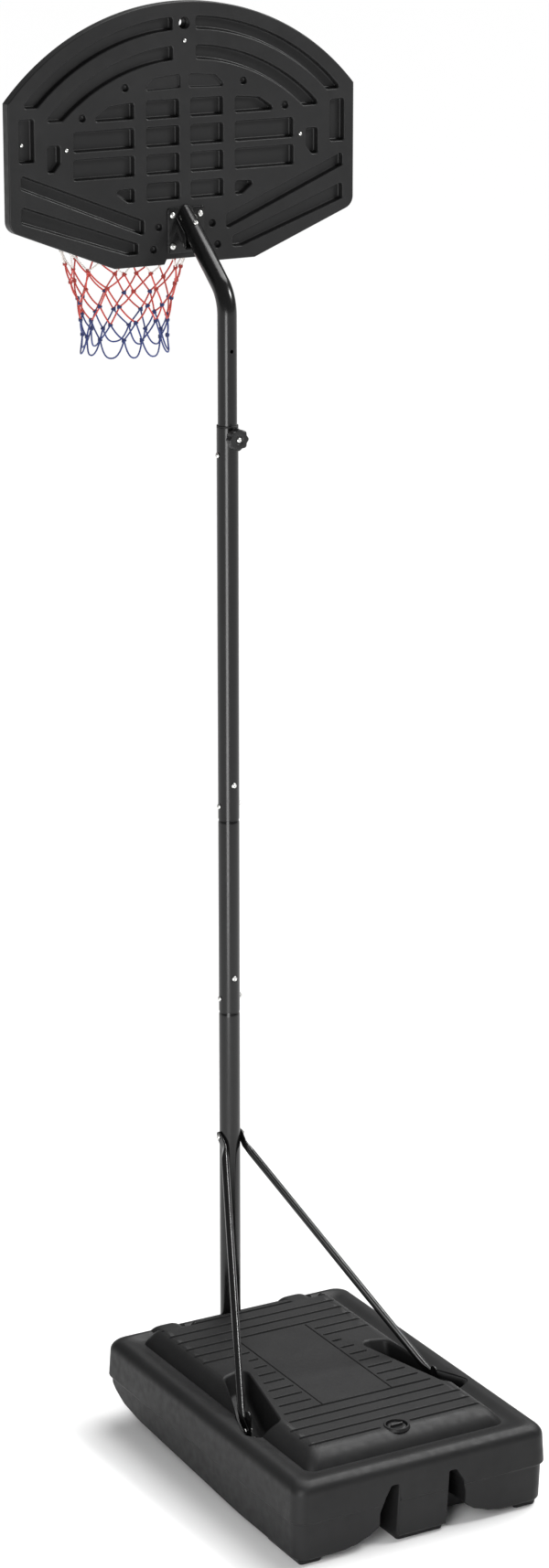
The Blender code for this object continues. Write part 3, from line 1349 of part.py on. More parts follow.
def recesses(wall=0.0):
    bm = bmesh.new()
    for outline, depth in recess_outlines() + recess_dimples():
        for side in (1, -1):
            add_recess(bm, outline, depth, side, wall)
    return bm


def make_board(head):
    """Double-walled moulded board: flat face, recessed back, hollow between."""
    outline = [(x, BOARD_BOTTOM + z) for x, z in board_outline()]
    body = prism(outline, "Y", BOARD_FRONT, BOARD_BACK)
    rims = [e for e in body.edges if abs(e.verts[0].co.y - e.verts[1].co.y) < 1e-6]
    bmesh.ops.bevel(
        body, geom=rims, offset=BOARD_EDGE, offset_type="OFFSET", segments=2, profile=0.5,
        affect="EDGES", clamp_overlap=True, material=-1,
    )
    board = link_mesh("backboard", body, BOARD_PLASTIC, head)
    combine(board, "recesses", recesses())
    inner = [(x, BOARD_BOTTOM + z) for x, z in board_outline(BOARD_WALL + 0.5 * BOARD_EDGE)]
    space = prism(inner, "Y", BOARD_FRONT + BOARD_WALL, BOARD_BACK - BOARD_WALL)
    cavity = link_cutter("backboard_cavity", space, head)
    combine(cavity, "recesses", recesses(BOARD_WALL), self_crossing=True)
    pillars = bmesh.new()
    holes = bmesh.new()
    middle = (BOARD_FRONT + BOARD_BACK) / 2
    reach = 1.6 * BOARD_THICKNESS
    for x, z in plate_bolt_places():
        add_rod(pillars, (x, middle, z), "Y", PLATE_BOLT_RADIUS + BOARD_WALL, reach, 8)
        add_rod(holes, (x, middle, z), "Y", PLATE_BOLT_RADIUS + BOLT_CLEARANCE, reach, 12)
    combine(cavity, "pillars", pillars)
    hollow = board.modifiers.new("cavity", "BOOLEAN")
    hollow.operation = "DIFFERENCE"
    hollow.object = cavity
    combine(board, "bolt_holes", holes)
    hang_z = BOARD_BOTTOM + BOARD_HOLE_SHARE * BOARD_HEIGHT
    hang = rod((0, BOARD_BACK, hang_z), "Y", BOARD_HOLE_RADIUS, 1.2 * BOARD_THICKNESS, 18)
    combine(board, "hang_hole", hang)
    return board


def make_board_screws(head):
    head_profile = [(0.0, 0.003), (0.003, 0.0026), (0.0045, 0.0), (0.0, 0.0)]
    for word, across, up, depth in SCREWS:
        place = (across * BOARD_WIDTH / 2, BOARD_BACK - depth + GAP, BOARD_BOTTOM + up * BOARD_HEIGHT)
        spun(f"board_screw_{word}", head_profile, place, "Y", head)


# Rim and net


def rim_point(angle, radius, height):
    """A point round the rim; angle 0 is at the board side."""
    return (radius * math.sin(angle), RIM_CENTRE_Y + radius * math.cos(angle), height)


def hook_angles():
    return [math.tau * (index + 0.5) / HOOK_COUNT for index in range(HOOK_COUNT)]


def make_rim(head):
    place = Matrix.Translation((0, RIM_CENTRE_Y, RIM_Z))
    section = arc_points((RIM_RADIUS, 0.0), RIM_ROD, 0.0, math.tau * 7 / 8, 7)
    rim = link_mesh("rim_ring", spun_mesh(section, place, 28), RIM_PAINT, head)
    routes = []
    for angle in hook_angles():
        inner = RIM_RADIUS - HOOK_HALF
        outer = RIM_RADIUS + HOOK_HALF
        low = RIM_Z - HOOK_DROP
        routes.append([
            rim_point(angle, inner, RIM_Z), rim_point(angle, inner, low),
            rim_point(angle, outer, low), rim_point(angle, outer, RIM_Z),
        ])
    combine(rim, "hooks", pipe_mesh("hooks", routes, HOOK_WIRE, 0), "UNION")
    return rim


def make_rim_bracket(head):
    """Back plate, web under the ring and two gussets, welded up as one piece."""
    front = BOARD_FRONT - GAP
    half = PLATE_WIDTH / 2
    low = PLATE_CENTRE_Z - PLATE_HEIGHT / 2
    high = PLATE_CENTRE_Z + PLATE_HEIGHT / 2
    outline = rounded_rectangle(half, low, high, 0.006, 3)
    plate = prism(outline, "Y", front - PLATE_THICKNESS, front)
    bracket = link_mesh("rim_bracket", plate, RIM_PAINT, head, smooth=False)
    web_top = RIM_Z - RIM_ROD - GAP
    web_end = RIM_CENTRE_Y + RIM_RADIUS - 0.002
    inside = front - PLATE_THICKNESS / 2
    narrow = PLATE_BOLT_SPACING / 2 - 0.012
    web = [
        (-narrow, inside), (narrow, inside), (narrow, inside - 0.030), (WEB_HALF_WIDTH, web_end),
        (-WEB_HALF_WIDTH, web_end), (-narrow, inside - 0.030),
    ]
    combine(bracket, "web", prism(web, "Z", web_top - PLATE_THICKNESS, web_top), "UNION")
    web_middle = web_top - 0.5 * PLATE_THICKNESS
    gusset = [(inside, web_middle), (inside, low + GUSSET_FOOT), (web_end + 0.03, web_middle)]
    for side in (-1, 1):
        ends = sorted((side * (narrow - PLATE_THICKNESS), side * (narrow - 0.0005)))
        combine(bracket, f"gusset_{side + 1}", prism(gusset, "X", *ends), "UNION")
    holes = bmesh.new()
    for x, z in plate_bolt_places():
        add_rod(holes, (x, front, z), "Y", PLATE_BOLT_RADIUS + BOLT_CLEARANCE, 0.02, 12)
    combine(bracket, "holes", holes)
    return bracket


def make_braces(head):
    """Two round braces from the foot of the rim bracket to the sides of the ring."""
    plate_face = BOARD_FRONT - GAP - PLATE_THICKNESS - GAP
    foot_z = PLATE_CENTRE_Z - PLATE_HEIGHT / 2 + 0.007
    under_ring = RIM_Z - RIM_ROD - BRACE_RADIUS - 2 * GAP
    for side, _, word in SIDES:
        end = rim_point(side * BRACE_ANGLE, RIM_RADIUS + 0.004, under_ring)
        start = (side * 0.018, plate_face, foot_z)
        knee = (side * 0.018, plate_face - 0.012, foot_z)
        bm = pipe_mesh("brace", [[start, knee, end]], BRACE_RADIUS, 3)
        link_mesh(f"rim_brace_{word}", bm, RIM_PAINT, head)


def net_level(level):
    """Radius and height of one row of knots."""
    share = level / NET_ROWS
    top_radius = RIM_RADIUS
    radius = NET_END_RADIUS + (top_radius - NET_END_RADIUS) * (1 - share) ** 1.8
    top = RIM_Z - HOOK_DROP + HOOK_WIRE + NET_CORD / 2 + 0.0008
    return radius, top - NET_DROP * share ** 0.95


def make_net(head):
    """A tube of diamond meshes hung from the hooks, its cords one closed lattice."""
    bm = bmesh.new()
    rows = []
    for level in range(NET_ROWS + 1):
        radius, height = net_level(level)
        shift = 0.5 if level % 2 else 0.0
        angles = [math.tau * (index + 0.5 + shift) / HOOK_COUNT for index in range(HOOK_COUNT)]
        rows.append([bm.verts.new(rim_point(angle, radius, height)) for angle in angles])
    for level in range(NET_ROWS - 1):
        for index in range(HOOK_COUNT):
            right = index if level % 2 == 0 else (index + 1) % HOOK_COUNT
            left = (right - 1) % HOOK_COUNT
            top, foot = rows[level][index], rows[level + 2][index]
            bm.faces.new((top, rows[level + 1][left], foot, rows[level + 1][right]))
    bmesh.ops.recalc_face_normals(bm, faces=bm.faces)
    net = link_mesh("net", bm, NET_WHITE, head, smooth=False)
    cords = net.modifiers.new("cords", "WIREFRAME")
    cords.thickness = NET_CORD
    cords.use_boundary = True
    cords.use_replace = True
    cords.use_even_offset = False
    cords.offset = 0.0
    return net


def main():
    stand = new_empty("stand_origin", (0, -CENTRE_Y, 0))
    head = new_empty("head_slide", (0, 0, 0), stand)
    make_tank(stand)
    make_cap(stand)
    make_wheel("wheel_left", 1, stand)
    make_wheel("wheel_right", -1, stand)
    make_axle(stand)
    make_poles(stand)
    make_joint_bolts(stand)
    make_struts(stand)
    make_foot_brackets(stand)
    make_clamp(stand)
    make_top_tube(head)
    make_bracket(head)
    make_plate_bolts(head)
    make_board(head)
    make_board_screws(head)
    make_rim(head)
    make_rim_bracket(head)
    make_braces(head)
    make_net(head)


main()
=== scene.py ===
"""Looks of the portable basketball stand: finishes, finer forms, the net, stage and camera.

Shapes are drawn with the pole's axis at x = y = 0 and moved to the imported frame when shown.
"""

import json
import math

import bmesh
import bpy
from mathutils import Matrix, Vector

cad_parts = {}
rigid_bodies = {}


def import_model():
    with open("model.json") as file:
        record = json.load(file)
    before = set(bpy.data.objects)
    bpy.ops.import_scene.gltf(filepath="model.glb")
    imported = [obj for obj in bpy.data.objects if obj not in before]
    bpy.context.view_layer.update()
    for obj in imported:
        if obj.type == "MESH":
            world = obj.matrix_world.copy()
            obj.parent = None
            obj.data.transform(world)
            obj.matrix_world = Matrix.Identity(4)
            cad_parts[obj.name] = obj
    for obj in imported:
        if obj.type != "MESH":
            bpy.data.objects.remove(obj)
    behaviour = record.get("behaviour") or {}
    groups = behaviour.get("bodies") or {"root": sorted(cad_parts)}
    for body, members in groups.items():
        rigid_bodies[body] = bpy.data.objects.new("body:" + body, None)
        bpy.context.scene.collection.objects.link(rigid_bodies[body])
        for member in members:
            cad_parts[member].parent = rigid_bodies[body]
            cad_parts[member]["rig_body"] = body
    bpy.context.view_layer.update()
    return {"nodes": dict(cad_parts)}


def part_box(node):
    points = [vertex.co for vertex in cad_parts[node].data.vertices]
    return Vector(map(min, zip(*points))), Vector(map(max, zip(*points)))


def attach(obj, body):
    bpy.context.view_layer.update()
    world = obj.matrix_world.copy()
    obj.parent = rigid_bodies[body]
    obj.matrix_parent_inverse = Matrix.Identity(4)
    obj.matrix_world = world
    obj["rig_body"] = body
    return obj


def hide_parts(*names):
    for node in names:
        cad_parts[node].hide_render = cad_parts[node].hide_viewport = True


bl_info = {
    "name": "Portable basketball stand",
    "version": (1, 0, 0),
    "blender": (4, 5, 0),
    "location": "View3D > Sidebar > Stand",
    "description": "Builds the finishes and finer forms of a portable basketball stand",
    "category": "Add Mesh",
}

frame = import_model()
POLE_Y = sum(corner.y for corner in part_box("pole_lower")) / 2
SIDES = ((1, "X", "left"), (-1, "-X", "right"))
UP = Vector((0, 0, 1))
# Clearance between parts that touch, sheet steel of the brackets, and how far a bracket plate's
# outer face stands off the board
GAP = 0.0003
SHEET = 0.003
PLATE_FACE = 0.0036

FloatProperty = bpy.props.FloatProperty


def length(name, description, default):
    return FloatProperty(
        name=name, description=description, default=default, min=0.0, unit="LENGTH", precision=4
    )


def strength(name, description, default, unit="NONE"):
    return FloatProperty(name=name, description=description, default=default, min=0, unit=unit)


def colour(name, description, default):
    return bpy.props.FloatVectorProperty(
        name=name, description=description, default=default, min=0.0, max=1.0, size=3,
        subtype="COLOR",
    )


# Sizes and colours that a user would change


class StandTankSettings(bpy.types.PropertyGroup):
    width: length("Width", "Tank across its border", 0.674)
    depth: length("Length", "Tank from the pole side to the rear", 0.946)
    front: length("Front", "Tank ahead of the pole's axis", 0.026)
    corner: length("Corner radius", "Corners seen from above", 0.034)
    lift: length("Floor lift", "Tank's floor above the ground between its feet", 0.014)
    ledge: length("Parting ledge", "Height of the step round the sides", 0.112)
    shoulder: length("Shoulder height", "Height of the rounded outer border", 0.203)
    shoulder_round: length("Shoulder radius", "Radius of the upper outer edge", 0.028)
    valley_inset: length("Valley inset", "Crease between border and deck, in from the sides", 0.074)
    valley_depth: length("Valley depth", "Crease below the border", 0.009)
    deck: length("Deck height", "Height of the raised deck", 0.230)
    deck_inset: length("Deck inset", "Deck's edge in from the sides", 0.126)
    groove_pitch: length("Groove pitch", "Distance between deck grooves", 0.0421)
    groove_half: length("Groove half width", "Half width of a groove at the deck", 0.0040)
    groove_depth: length("Groove depth", "Depth of a groove", 0.0065)
    plastic: colour("Plastic", "Colour of the moulded plastic", (0.0085, 0.0085, 0.0087))


class StandCapSettings(bpy.types.PropertyGroup):
    radius: length("Cap radius", "Screw cap of the fill neck", 0.0215)
    seat_depth: length("Seat depth", "Cap's seat below the boss", 0.011)
    plastic: colour("Plastic", "Colour of cap, wheels and knob", (0.0075, 0.0075, 0.0077))
    rubber: colour("Rubber", "Colour of the sealing ring", (0.012, 0.012, 0.012))


class StandPoleSettings(bpy.types.PropertyGroup):
    radius: length("Pole radius", "Outer radius of the three pole sections", 0.0254)
    wall: length("Wall", "Tube wall", 0.0015)
    top_radius: length("Top tube radius", "Outer radius of the sliding tube", 0.0225)
    strut_radius: length("Strut radius", "Outer radius of the struts", 0.0095)
    seam_low: length("Lower joint", "Height of the lower joint", 0.994)
    seam_high: length("Upper joint", "Height of the upper joint", 1.477)
    top: length("Pole top", "Height of the upper pole's mouth", 2.422)
    paint: colour("Paint", "Powder coat of the steel parts", (0.0040, 0.0040, 0.0041))
    zinc: colour("Zinc", "Plated fasteners", (0.82, 0.82, 0.80))


class StandBoardSettings(bpy.types.PropertyGroup):
    width: length("Width", "Board across", 0.900)
    height: length("Height", "Board from foot to crown", 0.600)
    thickness: length("Thickness", "Board front to back", 0.030)
    recess: length("Recess depth", "Depth of the moulded cells", 0.016)
    lip: length("Lip", "Radius of the cells' outer edges", 0.0030)
    plastic: colour("Plastic", "Colour of the moulded plastic", (0.0085, 0.0085, 0.0087))
    lines: colour("Lines", "Printed target square", (0.72, 0.72, 0.72))


class StandRimSettings(bpy.types.PropertyGroup):
    radius: length("Rim radius", "Centre line of the ring", 0.196)
    rod: length("Rod radius", "Radius of the ring's rod", 0.0065)
    height: length("Rim height", "Ring above the floor", 2.875)
    paint: colour("Paint", "Powder coat of the ring", (0.60, 0.095, 0.018))


class StandNetSettings(bpy.types.PropertyGroup):
    cord: length("Cord", "Cord diameter", 0.0040)
    drop: length("Drop", "Net from its top row to its foot", 0.345)
    foot_radius: length("Foot radius", "Radius of the lowest row", 0.098)
    white: colour("Upper cord", "Cord below the ring", (0.78, 0.74, 0.70))
    red: colour("Middle cord", "Cord in the middle", (0.60, 0.045, 0.030))
    blue: colour("Lower cord", "Cord at the foot", (0.012, 0.035, 0.20))


class StandStageSettings(bpy.types.PropertyGroup):
    floor: colour("Floor", "Pale floor", (0.88, 0.88, 0.88))
    lens: FloatProperty(
        name="Lens", description="Focal length on a 36 mm tall sensor", default=91.71, min=10,
        unit="CAMERA",
    )
    air: strength("Surroundings", "Brightness of the plain surroundings", 0.22)
    sky: strength("Overhead", "Strength of the broad light overhead", 3.4)
    side: strength("Side light", "Power of the soft light above right", 180, "POWER")
    strip: strength("Strip light", "Power of the tall strip beside the camera", 80, "POWER")


def settings(name):
    return getattr(bpy.context.scene, "stand_" + name)


# Shape helpers


def quarter(steps, start=0.0):
    """Angles over a quarter turn, in radians; the first may start later, in degrees."""
    return [math.radians(start + (90 - start) * step / steps) for step in range(steps + 1)]


def arc(centre, radius, start, end, steps):
    """Points on a circle from one angle to another, in degrees."""
    degrees = [start + (end - start) * step / max(steps, 1) for step in range(steps + 1)]
    angles = [math.radians(value) for value in degrees]
    return [(centre[0] + radius * math.cos(a), centre[1] + radius * math.sin(a)) for a in angles]


def smooth_step(value):
    value = min(max(value, 0.0), 1.0)
    return value * value * (3 - 2 * value)


def blend(first, second, share):
    return tuple(a + (b - a) * share for a, b in zip(first, second))


def outward(points):
    """For each corner of a flat outline, how far it moves when its sides move out by one."""
    area = sum(a[0] * b[1] - b[0] * a[1] for a, b in zip(points, points[1:] + points[:1]))
    turn = 1 if area > 0 else -1
    moves = []
    for index, point in enumerate(points):
        here = Vector(point)
        before = (here - Vector(points[index - 1])).normalized()
        after = (Vector(points[(index + 1) % len(points)]) - here).normalized()
        out_before = Vector((before.y, -before.x)) * turn
        bisector = (out_before + Vector((after.y, -after.x)) * turn).normalized()
        moves.append(bisector / max(bisector.dot(out_before), 0.3))
    return moves


def offset(points, distance):
    return [tuple(Vector(point) + move * distance) for point, move in zip(points, outward(points))]


def soften(points, radius, steps=5):
    """Round the corners of a flat closed outline; radius is one number or one for each corner."""
    radii = radius if isinstance(radius, (list, tuple)) else [radius] * len(points)
    result = []
    for index, point in enumerate(points):
        here = Vector(point)
        to_last = Vector(points[index - 1]) - here
        to_next = Vector(points[(index + 1) % len(points)]) - here
        half = to_last.angle(to_next) / 2
        if radii[index] <= 0 or half > math.radians(88):
            result.append(tuple(here))
            continue
        run = min(radii[index] / math.tan(half), 0.48 * to_last.length, 0.48 * to_next.length)
        reach = run * math.tan(half)
        inward = (to_last.normalized() + to_next.normalized()).normalized()
        centre = here + inward * (reach / math.sin(half))
        first = here + to_last.normalized() * run - centre
        last = here + to_next.normalized() * run - centre
        turn = math.atan2(first.x * last.y - first.y * last.x, first.dot(last))
        for step in range(steps + 1):
            spot = centre + Matrix.Rotation(turn * step / steps, 2) @ first
            result.append((spot.x, spot.y))
    return result


def new_loop(bm, points):
    verts = [bm.verts.new(point) for point in points]
    return [bm.edges.new(pair) for pair in zip(verts, verts[1:] + verts[:1])]


def loft(loops, bm=None):
    """Bridge a stack of closed loops with equal counts and close both ends."""
    bm = bm or bmesh.new()
    known = set(bm.faces)
    rings = [new_loop(bm, loop) for loop in loops]
    for lower, upper in zip(rings, rings[1:]):
        bmesh.ops.bridge_loops(bm, edges=lower + upper)
    for ring in (rings[0], rings[-1]):
        bmesh.ops.contextual_create(bm, geom=ring)
    bmesh.ops.recalc_face_normals(bm, faces=[face for face in bm.faces if face not in known])
    return bm


def prism(points, axis, low, high, edge=0.0, segments=2):
    """A flat outline, in (y, z), (x, z) or (x, y), run along an axis, with its rims rounded."""
    def at(point, along):
        return {"X": (along, *point), "Y": (point[0], along, point[1]), "Z": (*point, along)}[axis]
    bm = loft([[at(point, low) for point in points], [at(point, high) for point in points]])
    if edge:
        place = {"X": 0, "Y": 1, "Z": 2}[axis]
        rims = [e for e in bm.edges if abs(e.verts[0].co[place] - e.verts[1].co[place]) < 1e-7]
        bevel(bm, rims, edge, segments)
    return bm


def box(low, high, edge=0.0, segments=2):
    bm = bmesh.new()
    size = Vector(high) - Vector(low)
    centre = (Vector(high) + Vector(low)) / 2
    matrix = Matrix.Translation(centre) @ Matrix.Diagonal((*size, 1.0))
    bmesh.ops.create_cube(bm, size=1.0, matrix=matrix)
    if edge:
        bevel(bm, bm.edges[:], edge, segments)
    return bm


def bevel(bm, edges, width, segments=2):
    bmesh.ops.bevel(
        bm, geom=edges, offset=width, offset_type="OFFSET", segments=segments, profile=0.5,
        affect="EDGES", clamp_overlap=True, material=-1,
    )


def turn_to(axis):
    """Rotation that lays +Z along an axis letter or a direction."""
    letters = {"X": (1, 0, 0), "-X": (-1, 0, 0), "Y": (0, 1, 0), "-Y": (0, -1, 0), "Z": (0, 0, 1)}
    direction = Vector(letters[axis]) if isinstance(axis, str) else Vector(axis)
    return UP.rotation_difference(direction).to_matrix().to_4x4()


def placed(spot, axis):
    return Matrix.Translation(spot) @ turn_to(axis)


def rod(centre, axis, radius, size, sides=32):
    bm = bmesh.new()
    bmesh.ops.create_cone(
        bm, cap_ends=True, segments=sides, radius1=radius, radius2=radius, depth=size,
        matrix=placed(centre, axis),
    )
    return bm


def spun(profile, sides=48, matrix=None):
    """Spin a closed (radius, height) profile about Z."""
    bm = bmesh.new()
    verts = [bm.verts.new((radius, 0, height)) for radius, height in profile]
    edges = []
    for vert, follow in zip(verts, verts[1:] + verts[:1]):
        if vert.co.x > 0 or follow.co.x > 0:
            edges.append(bm.edges.new((vert, follow)))
    bmesh.ops.spin(
        bm, geom=verts + edges, cent=(0, 0, 0), axis=(0, 0, 1), angle=math.tau, steps=sides,
        use_merge=True,
    )
    bmesh.ops.remove_doubles(bm, verts=bm.verts, dist=1e-7)
    if matrix is not None:
        bmesh.ops.transform(bm, matrix=matrix, verts=bm.verts)
    bmesh.ops.recalc_face_normals(bm, faces=bm.faces)
    return bm


def sweep(path, radius, sides=24, bm=None):
    """A round bar along a path: circles set square to the path and bridged."""
    bm = bm or bmesh.new()
    path = [Vector(point) for point in path]
    known = set(bm.faces)
    rings = []
    turn = None
    for index, point in enumerate(path):
        before = path[max(index - 1, 0)]
        after = path[min(index + 1, len(path) - 1)]
        ahead = ((after - point).normalized() + (point - before).normalized()).normalized()
        if turn is None:
            turn = UP.rotation_difference(ahead)
        else:
            turn = (turn @ UP).rotation_difference(ahead) @ turn
        matrix = Matrix.Translation(point) @ turn.to_matrix().to_4x4()
        made = bmesh.ops.create_circle(
            bm, cap_ends=False, segments=sides, radius=radius, matrix=matrix
        )
        rings.append(list({edge for vert in made["verts"] for edge in vert.link_edges}))
    for lower, upper in zip(rings, rings[1:]):
        bmesh.ops.bridge_loops(bm, edges=lower + upper)
    for ring in (rings[0], rings[-1]):
        bmesh.ops.contextual_create(bm, geom=ring)
    bmesh.ops.recalc_face_normals(bm, faces=[face for face in bm.faces if face not in known])
    return bm


def join(target, *others):
    """Put shapes into one mesh as they are."""
    for other in others:
        mesh = bpy.data.meshes.new("joined")
        other.to_mesh(mesh)
        other.free()
        target.from_mesh(mesh)
        bpy.data.meshes.remove(mesh)
    return target


def carve(target, *steps):
    """Cut shapes from a closed shape or join them on. Each step is (shape, operation)."""
    things = []
    for shape in (target, *[step[0] for step in steps]):
        mesh = bpy.data.meshes.new("carving")
        shape.to_mesh(mesh)
        shape.free()
        thing = bpy.data.objects.new("carving", mesh)
        bpy.context.scene.collection.objects.link(thing)
        things.append(thing)
    for tool, (_, operation) in zip(things[1:], steps):
        boolean = things[0].modifiers.new("carving", "BOOLEAN")
        boolean.object = tool
        boolean.operation = operation
        boolean.solver = "EXACT"
    evaluated = things[0].evaluated_get(bpy.context.evaluated_depsgraph_get())
    result = bmesh.new()
    result.from_mesh(evaluated.to_mesh())
    evaluated.to_mesh_clear()
    for thing in things:
        mesh = thing.data
        bpy.data.objects.remove(thing)
        bpy.data.meshes.remove(mesh)
    bmesh.ops.remove_doubles(result, verts=result.verts, dist=1e-6)
    return result


def cut(target, *shapes):
    return carve(target, *[(shape, "DIFFERENCE") for shape in shapes])


def show(name, bm, finish, sharp=32.0, even=False, node=None):
    """Make a finished shape a piece that stands for its CAD node and rides on that node's body.

    The node has the piece's name, unless it is given.
    """
    bmesh.ops.translate(bm, vec=(0, POLE_Y, 0), verts=bm.verts)
    mesh = bpy.data.meshes.new(name)
    bm.to_mesh(mesh)
    bm.free()
    piece = bpy.data.objects.new(name, mesh)
    bpy.context.scene.collection.objects.link(piece)
    for item in finish if isinstance(finish, (list, tuple)) else [finish]:
        mesh.materials.append(finish_named(item))
    mesh.shade_smooth()
    mesh.set_sharp_from_angle(angle=math.radians(sharp))
    if even:
        shading = piece.modifiers.new("even_shading", "WEIGHTED_NORMAL")
        shading.keep_sharp = True
    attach(piece, frame["nodes"][node or name]["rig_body"])
    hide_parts(node or name)


# Finishes


def node(tree, kind, **values):
    """Add a shader node and set its plain inputs and settings by name."""
    made = tree.nodes.new(kind)
    for key, value in values.items():
        name = key.replace("_", " ").title()
        if name in made.inputs:
            made.inputs[name].default_value = value
        else:
            setattr(made, key, value)
    return made


SHADER_SOCKETS = {
    "specular": "Specular IOR Level", "sheen": "Sheen Weight", "sheen_roughness": "Sheen Roughness",
}


def new_finish(name, roughness, metallic=0.0, **sockets):
    """A material with the plain values of its shader set."""
    material = bpy.data.materials.new(name + "_finish")
    material.use_nodes = True
    tree = material.node_tree
    shader = tree.nodes["Principled BSDF"]
    shader.inputs["Roughness"].default_value = roughness
    shader.inputs["Metallic"].default_value = metallic
    for key, value in sockets.items():
        shader.inputs[SHADER_SOCKETS[key]].default_value = value
    return material, tree, shader


def object_noise(tree, scale, detail, stretch=None):
    """Noise on the piece's own coordinates, with features of about 1 / scale metres."""
    where = node(tree, "ShaderNodeTexCoord").outputs["Object"]
    if stretch:
        mapping = node(tree, "ShaderNodeMapping")
        mapping.inputs["Scale"].default_value = stretch
        tree.links.new(where, mapping.inputs["Vector"])
        where = mapping.outputs["Vector"]
    texture = node(tree, "ShaderNodeTexNoise", scale=scale, detail=detail)
    tree.links.new(where, texture.inputs["Vector"])
    return texture.outputs["Fac"]


def blend_colours(tree, shader, base, tint, factor, low=0.35, high=0.65):
    """Vary the base colour between two shades by a noise."""
    ramp = node(tree, "ShaderNodeValToRGB")
    ramp.color_ramp.elements[0].position = low
    ramp.color_ramp.elements[1].position = high
    ramp.color_ramp.elements[0].color = (*base, 1)
    ramp.color_ramp.elements[1].color = (*tint, 1)
    tree.links.new(factor, ramp.inputs["Fac"])
    tree.links.new(ramp.outputs["Color"], shader.inputs["Base Color"])
    return ramp


def vary_roughness(tree, shader, factor, low, high):
    spread = node(tree, "ShaderNodeMapRange")
    spread.inputs["From Min"].default_value = 0.3
    spread.inputs["From Max"].default_value = 0.7
    spread.inputs["To Min"].default_value = low
    spread.inputs["To Max"].default_value = high
    tree.links.new(factor, spread.inputs["Value"])
    tree.links.new(spread.outputs["Result"], shader.inputs["Roughness"])


def add_bumps(tree, shader, *layers):
    """Stack bump layers, each (height, distance in metres, strength)."""
    last = None
    for height, distance, share in layers:
        bump = node(tree, "ShaderNodeBump", strength=share, distance=distance)
        tree.links.new(height, bump.inputs["Height"])
        if last:
            tree.links.new(last.outputs["Normal"], bump.inputs["Normal"])
        last = bump
    tree.links.new(last.outputs["Normal"], shader.inputs["Normal"])


def lighter(shade, factor):
    return tuple(min(1.0, channel * factor) for channel in shade)


def moulded_plastic(name, shade, roughness, grain, waves, specular):
    """Blow-moulded plastic: fine grain, a slightly wavy skin and faint handling marks."""
    material, tree, shader = new_finish(name, roughness, specular=specular)
    blend_colours(tree, shader, shade, lighter(shade, 1.35), object_noise(tree, 6.0, 4.0))
    vary_roughness(tree, shader, object_noise(tree, 45.0, 5.0), roughness - 0.05, roughness + 0.07)
    add_bumps(
        tree, shader,
        (object_noise(tree, waves, 2.0), 0.0020, 0.30),
        (object_noise(tree, grain, 3.0), 0.00012, 0.35),
        (object_noise(tree, 260.0, 2.0, (1.0, 0.12, 1.0)), 0.00010, 0.35),
    )
    return material


def powder_coat(name, shade, roughness, specular):
    """Powder coat on steel: orange-peel skin over tube that was drawn lengthwise."""
    material, tree, shader = new_finish(name, roughness, specular=specular)
    blend_colours(tree, shader, shade, lighter(shade, 1.35), object_noise(tree, 9.0, 3.0))
    vary_roughness(tree, shader, object_noise(tree, 70.0, 4.0), roughness - 0.04, roughness + 0.06)
    add_bumps(
        tree, shader,
        (object_noise(tree, 650.0, 2.0), 0.00010, 0.30),
        (object_noise(tree, 35.0, 1.0, (1.0, 1.0, 0.15)), 0.00060, 0.20),
    )
    return material


def zinc_plate(name, shade):
    """Bright zinc plate with a faint spangle."""
    material, tree, shader = new_finish(name, 0.26, 1.0)
    blend_colours(tree, shader, lighter(shade, 0.88), shade, object_noise(tree, 420.0, 3.0))
    vary_roughness(tree, shader, object_noise(tree, 900.0, 3.0), 0.20, 0.38)
    add_bumps(tree, shader, (object_noise(tree, 1600.0, 2.0), 0.00008, 0.4))
    return material


def rubber(name, shade):
    material, tree, shader = new_finish(name, 0.75)
    blend_colours(tree, shader, shade, (0.022, 0.022, 0.021), object_noise(tree, 90.0, 3.0))
    vary_roughness(tree, shader, object_noise(tree, 300.0, 3.0), 0.68, 0.82)
    add_bumps(tree, shader, (object_noise(tree, 2200.0, 2.0), 0.0001, 0.5))
    return material


def screen_print(name, shade):
    """Screen-printed white lines, slightly worn."""
    material, tree, shader = new_finish(name, 0.42)
    blend_colours(tree, shader, lighter(shade, 0.90), shade, object_noise(tree, 60.0, 5.0))
    vary_roughness(tree, shader, object_noise(tree, 80.0, 4.0), 0.36, 0.5)
    add_bumps(tree, shader, (object_noise(tree, 1300.0, 3.0), 0.00015, 0.5))
    return material


def twisted_cord(name, shade):
    """Twisted cord: strands wound round, drawn on the cord's own map, with painted shade in the
    grooves between the strands.
    """
    material, tree, shader = new_finish(name, 0.78, sheen=0.3, sheen_roughness=0.5)
    coordinates = node(tree, "ShaderNodeUVMap", uv_map="along")
    strands = node(tree, "ShaderNodeTexWave", bands_direction="DIAGONAL", wave_profile="SIN",
                   scale=0.5, distortion=0.4)
    strands.inputs["Detail Scale"].default_value = 2.0
    tree.links.new(coordinates.outputs["UV"], strands.inputs["Vector"])
    wound = strands.outputs["Fac"]
    # Painted shade: the colour darkens to 0.55 of the cord's shade in the grooves between the
    # strands, where the wave is lowest.
    ramp = blend_colours(tree, shader, lighter(shade, 0.55), shade, wound, 0.0, 0.55)
    ramp.color_ramp.interpolation = "EASE"
    vary_roughness(tree, shader, object_noise(tree, 500.0, 3.0), 0.70, 0.86)
    add_bumps(
        tree, shader,
        (wound, 0.0006, 0.7),
        (object_noise(tree, 2400.0, 2.0), 0.0003, 0.5),
    )
    return material


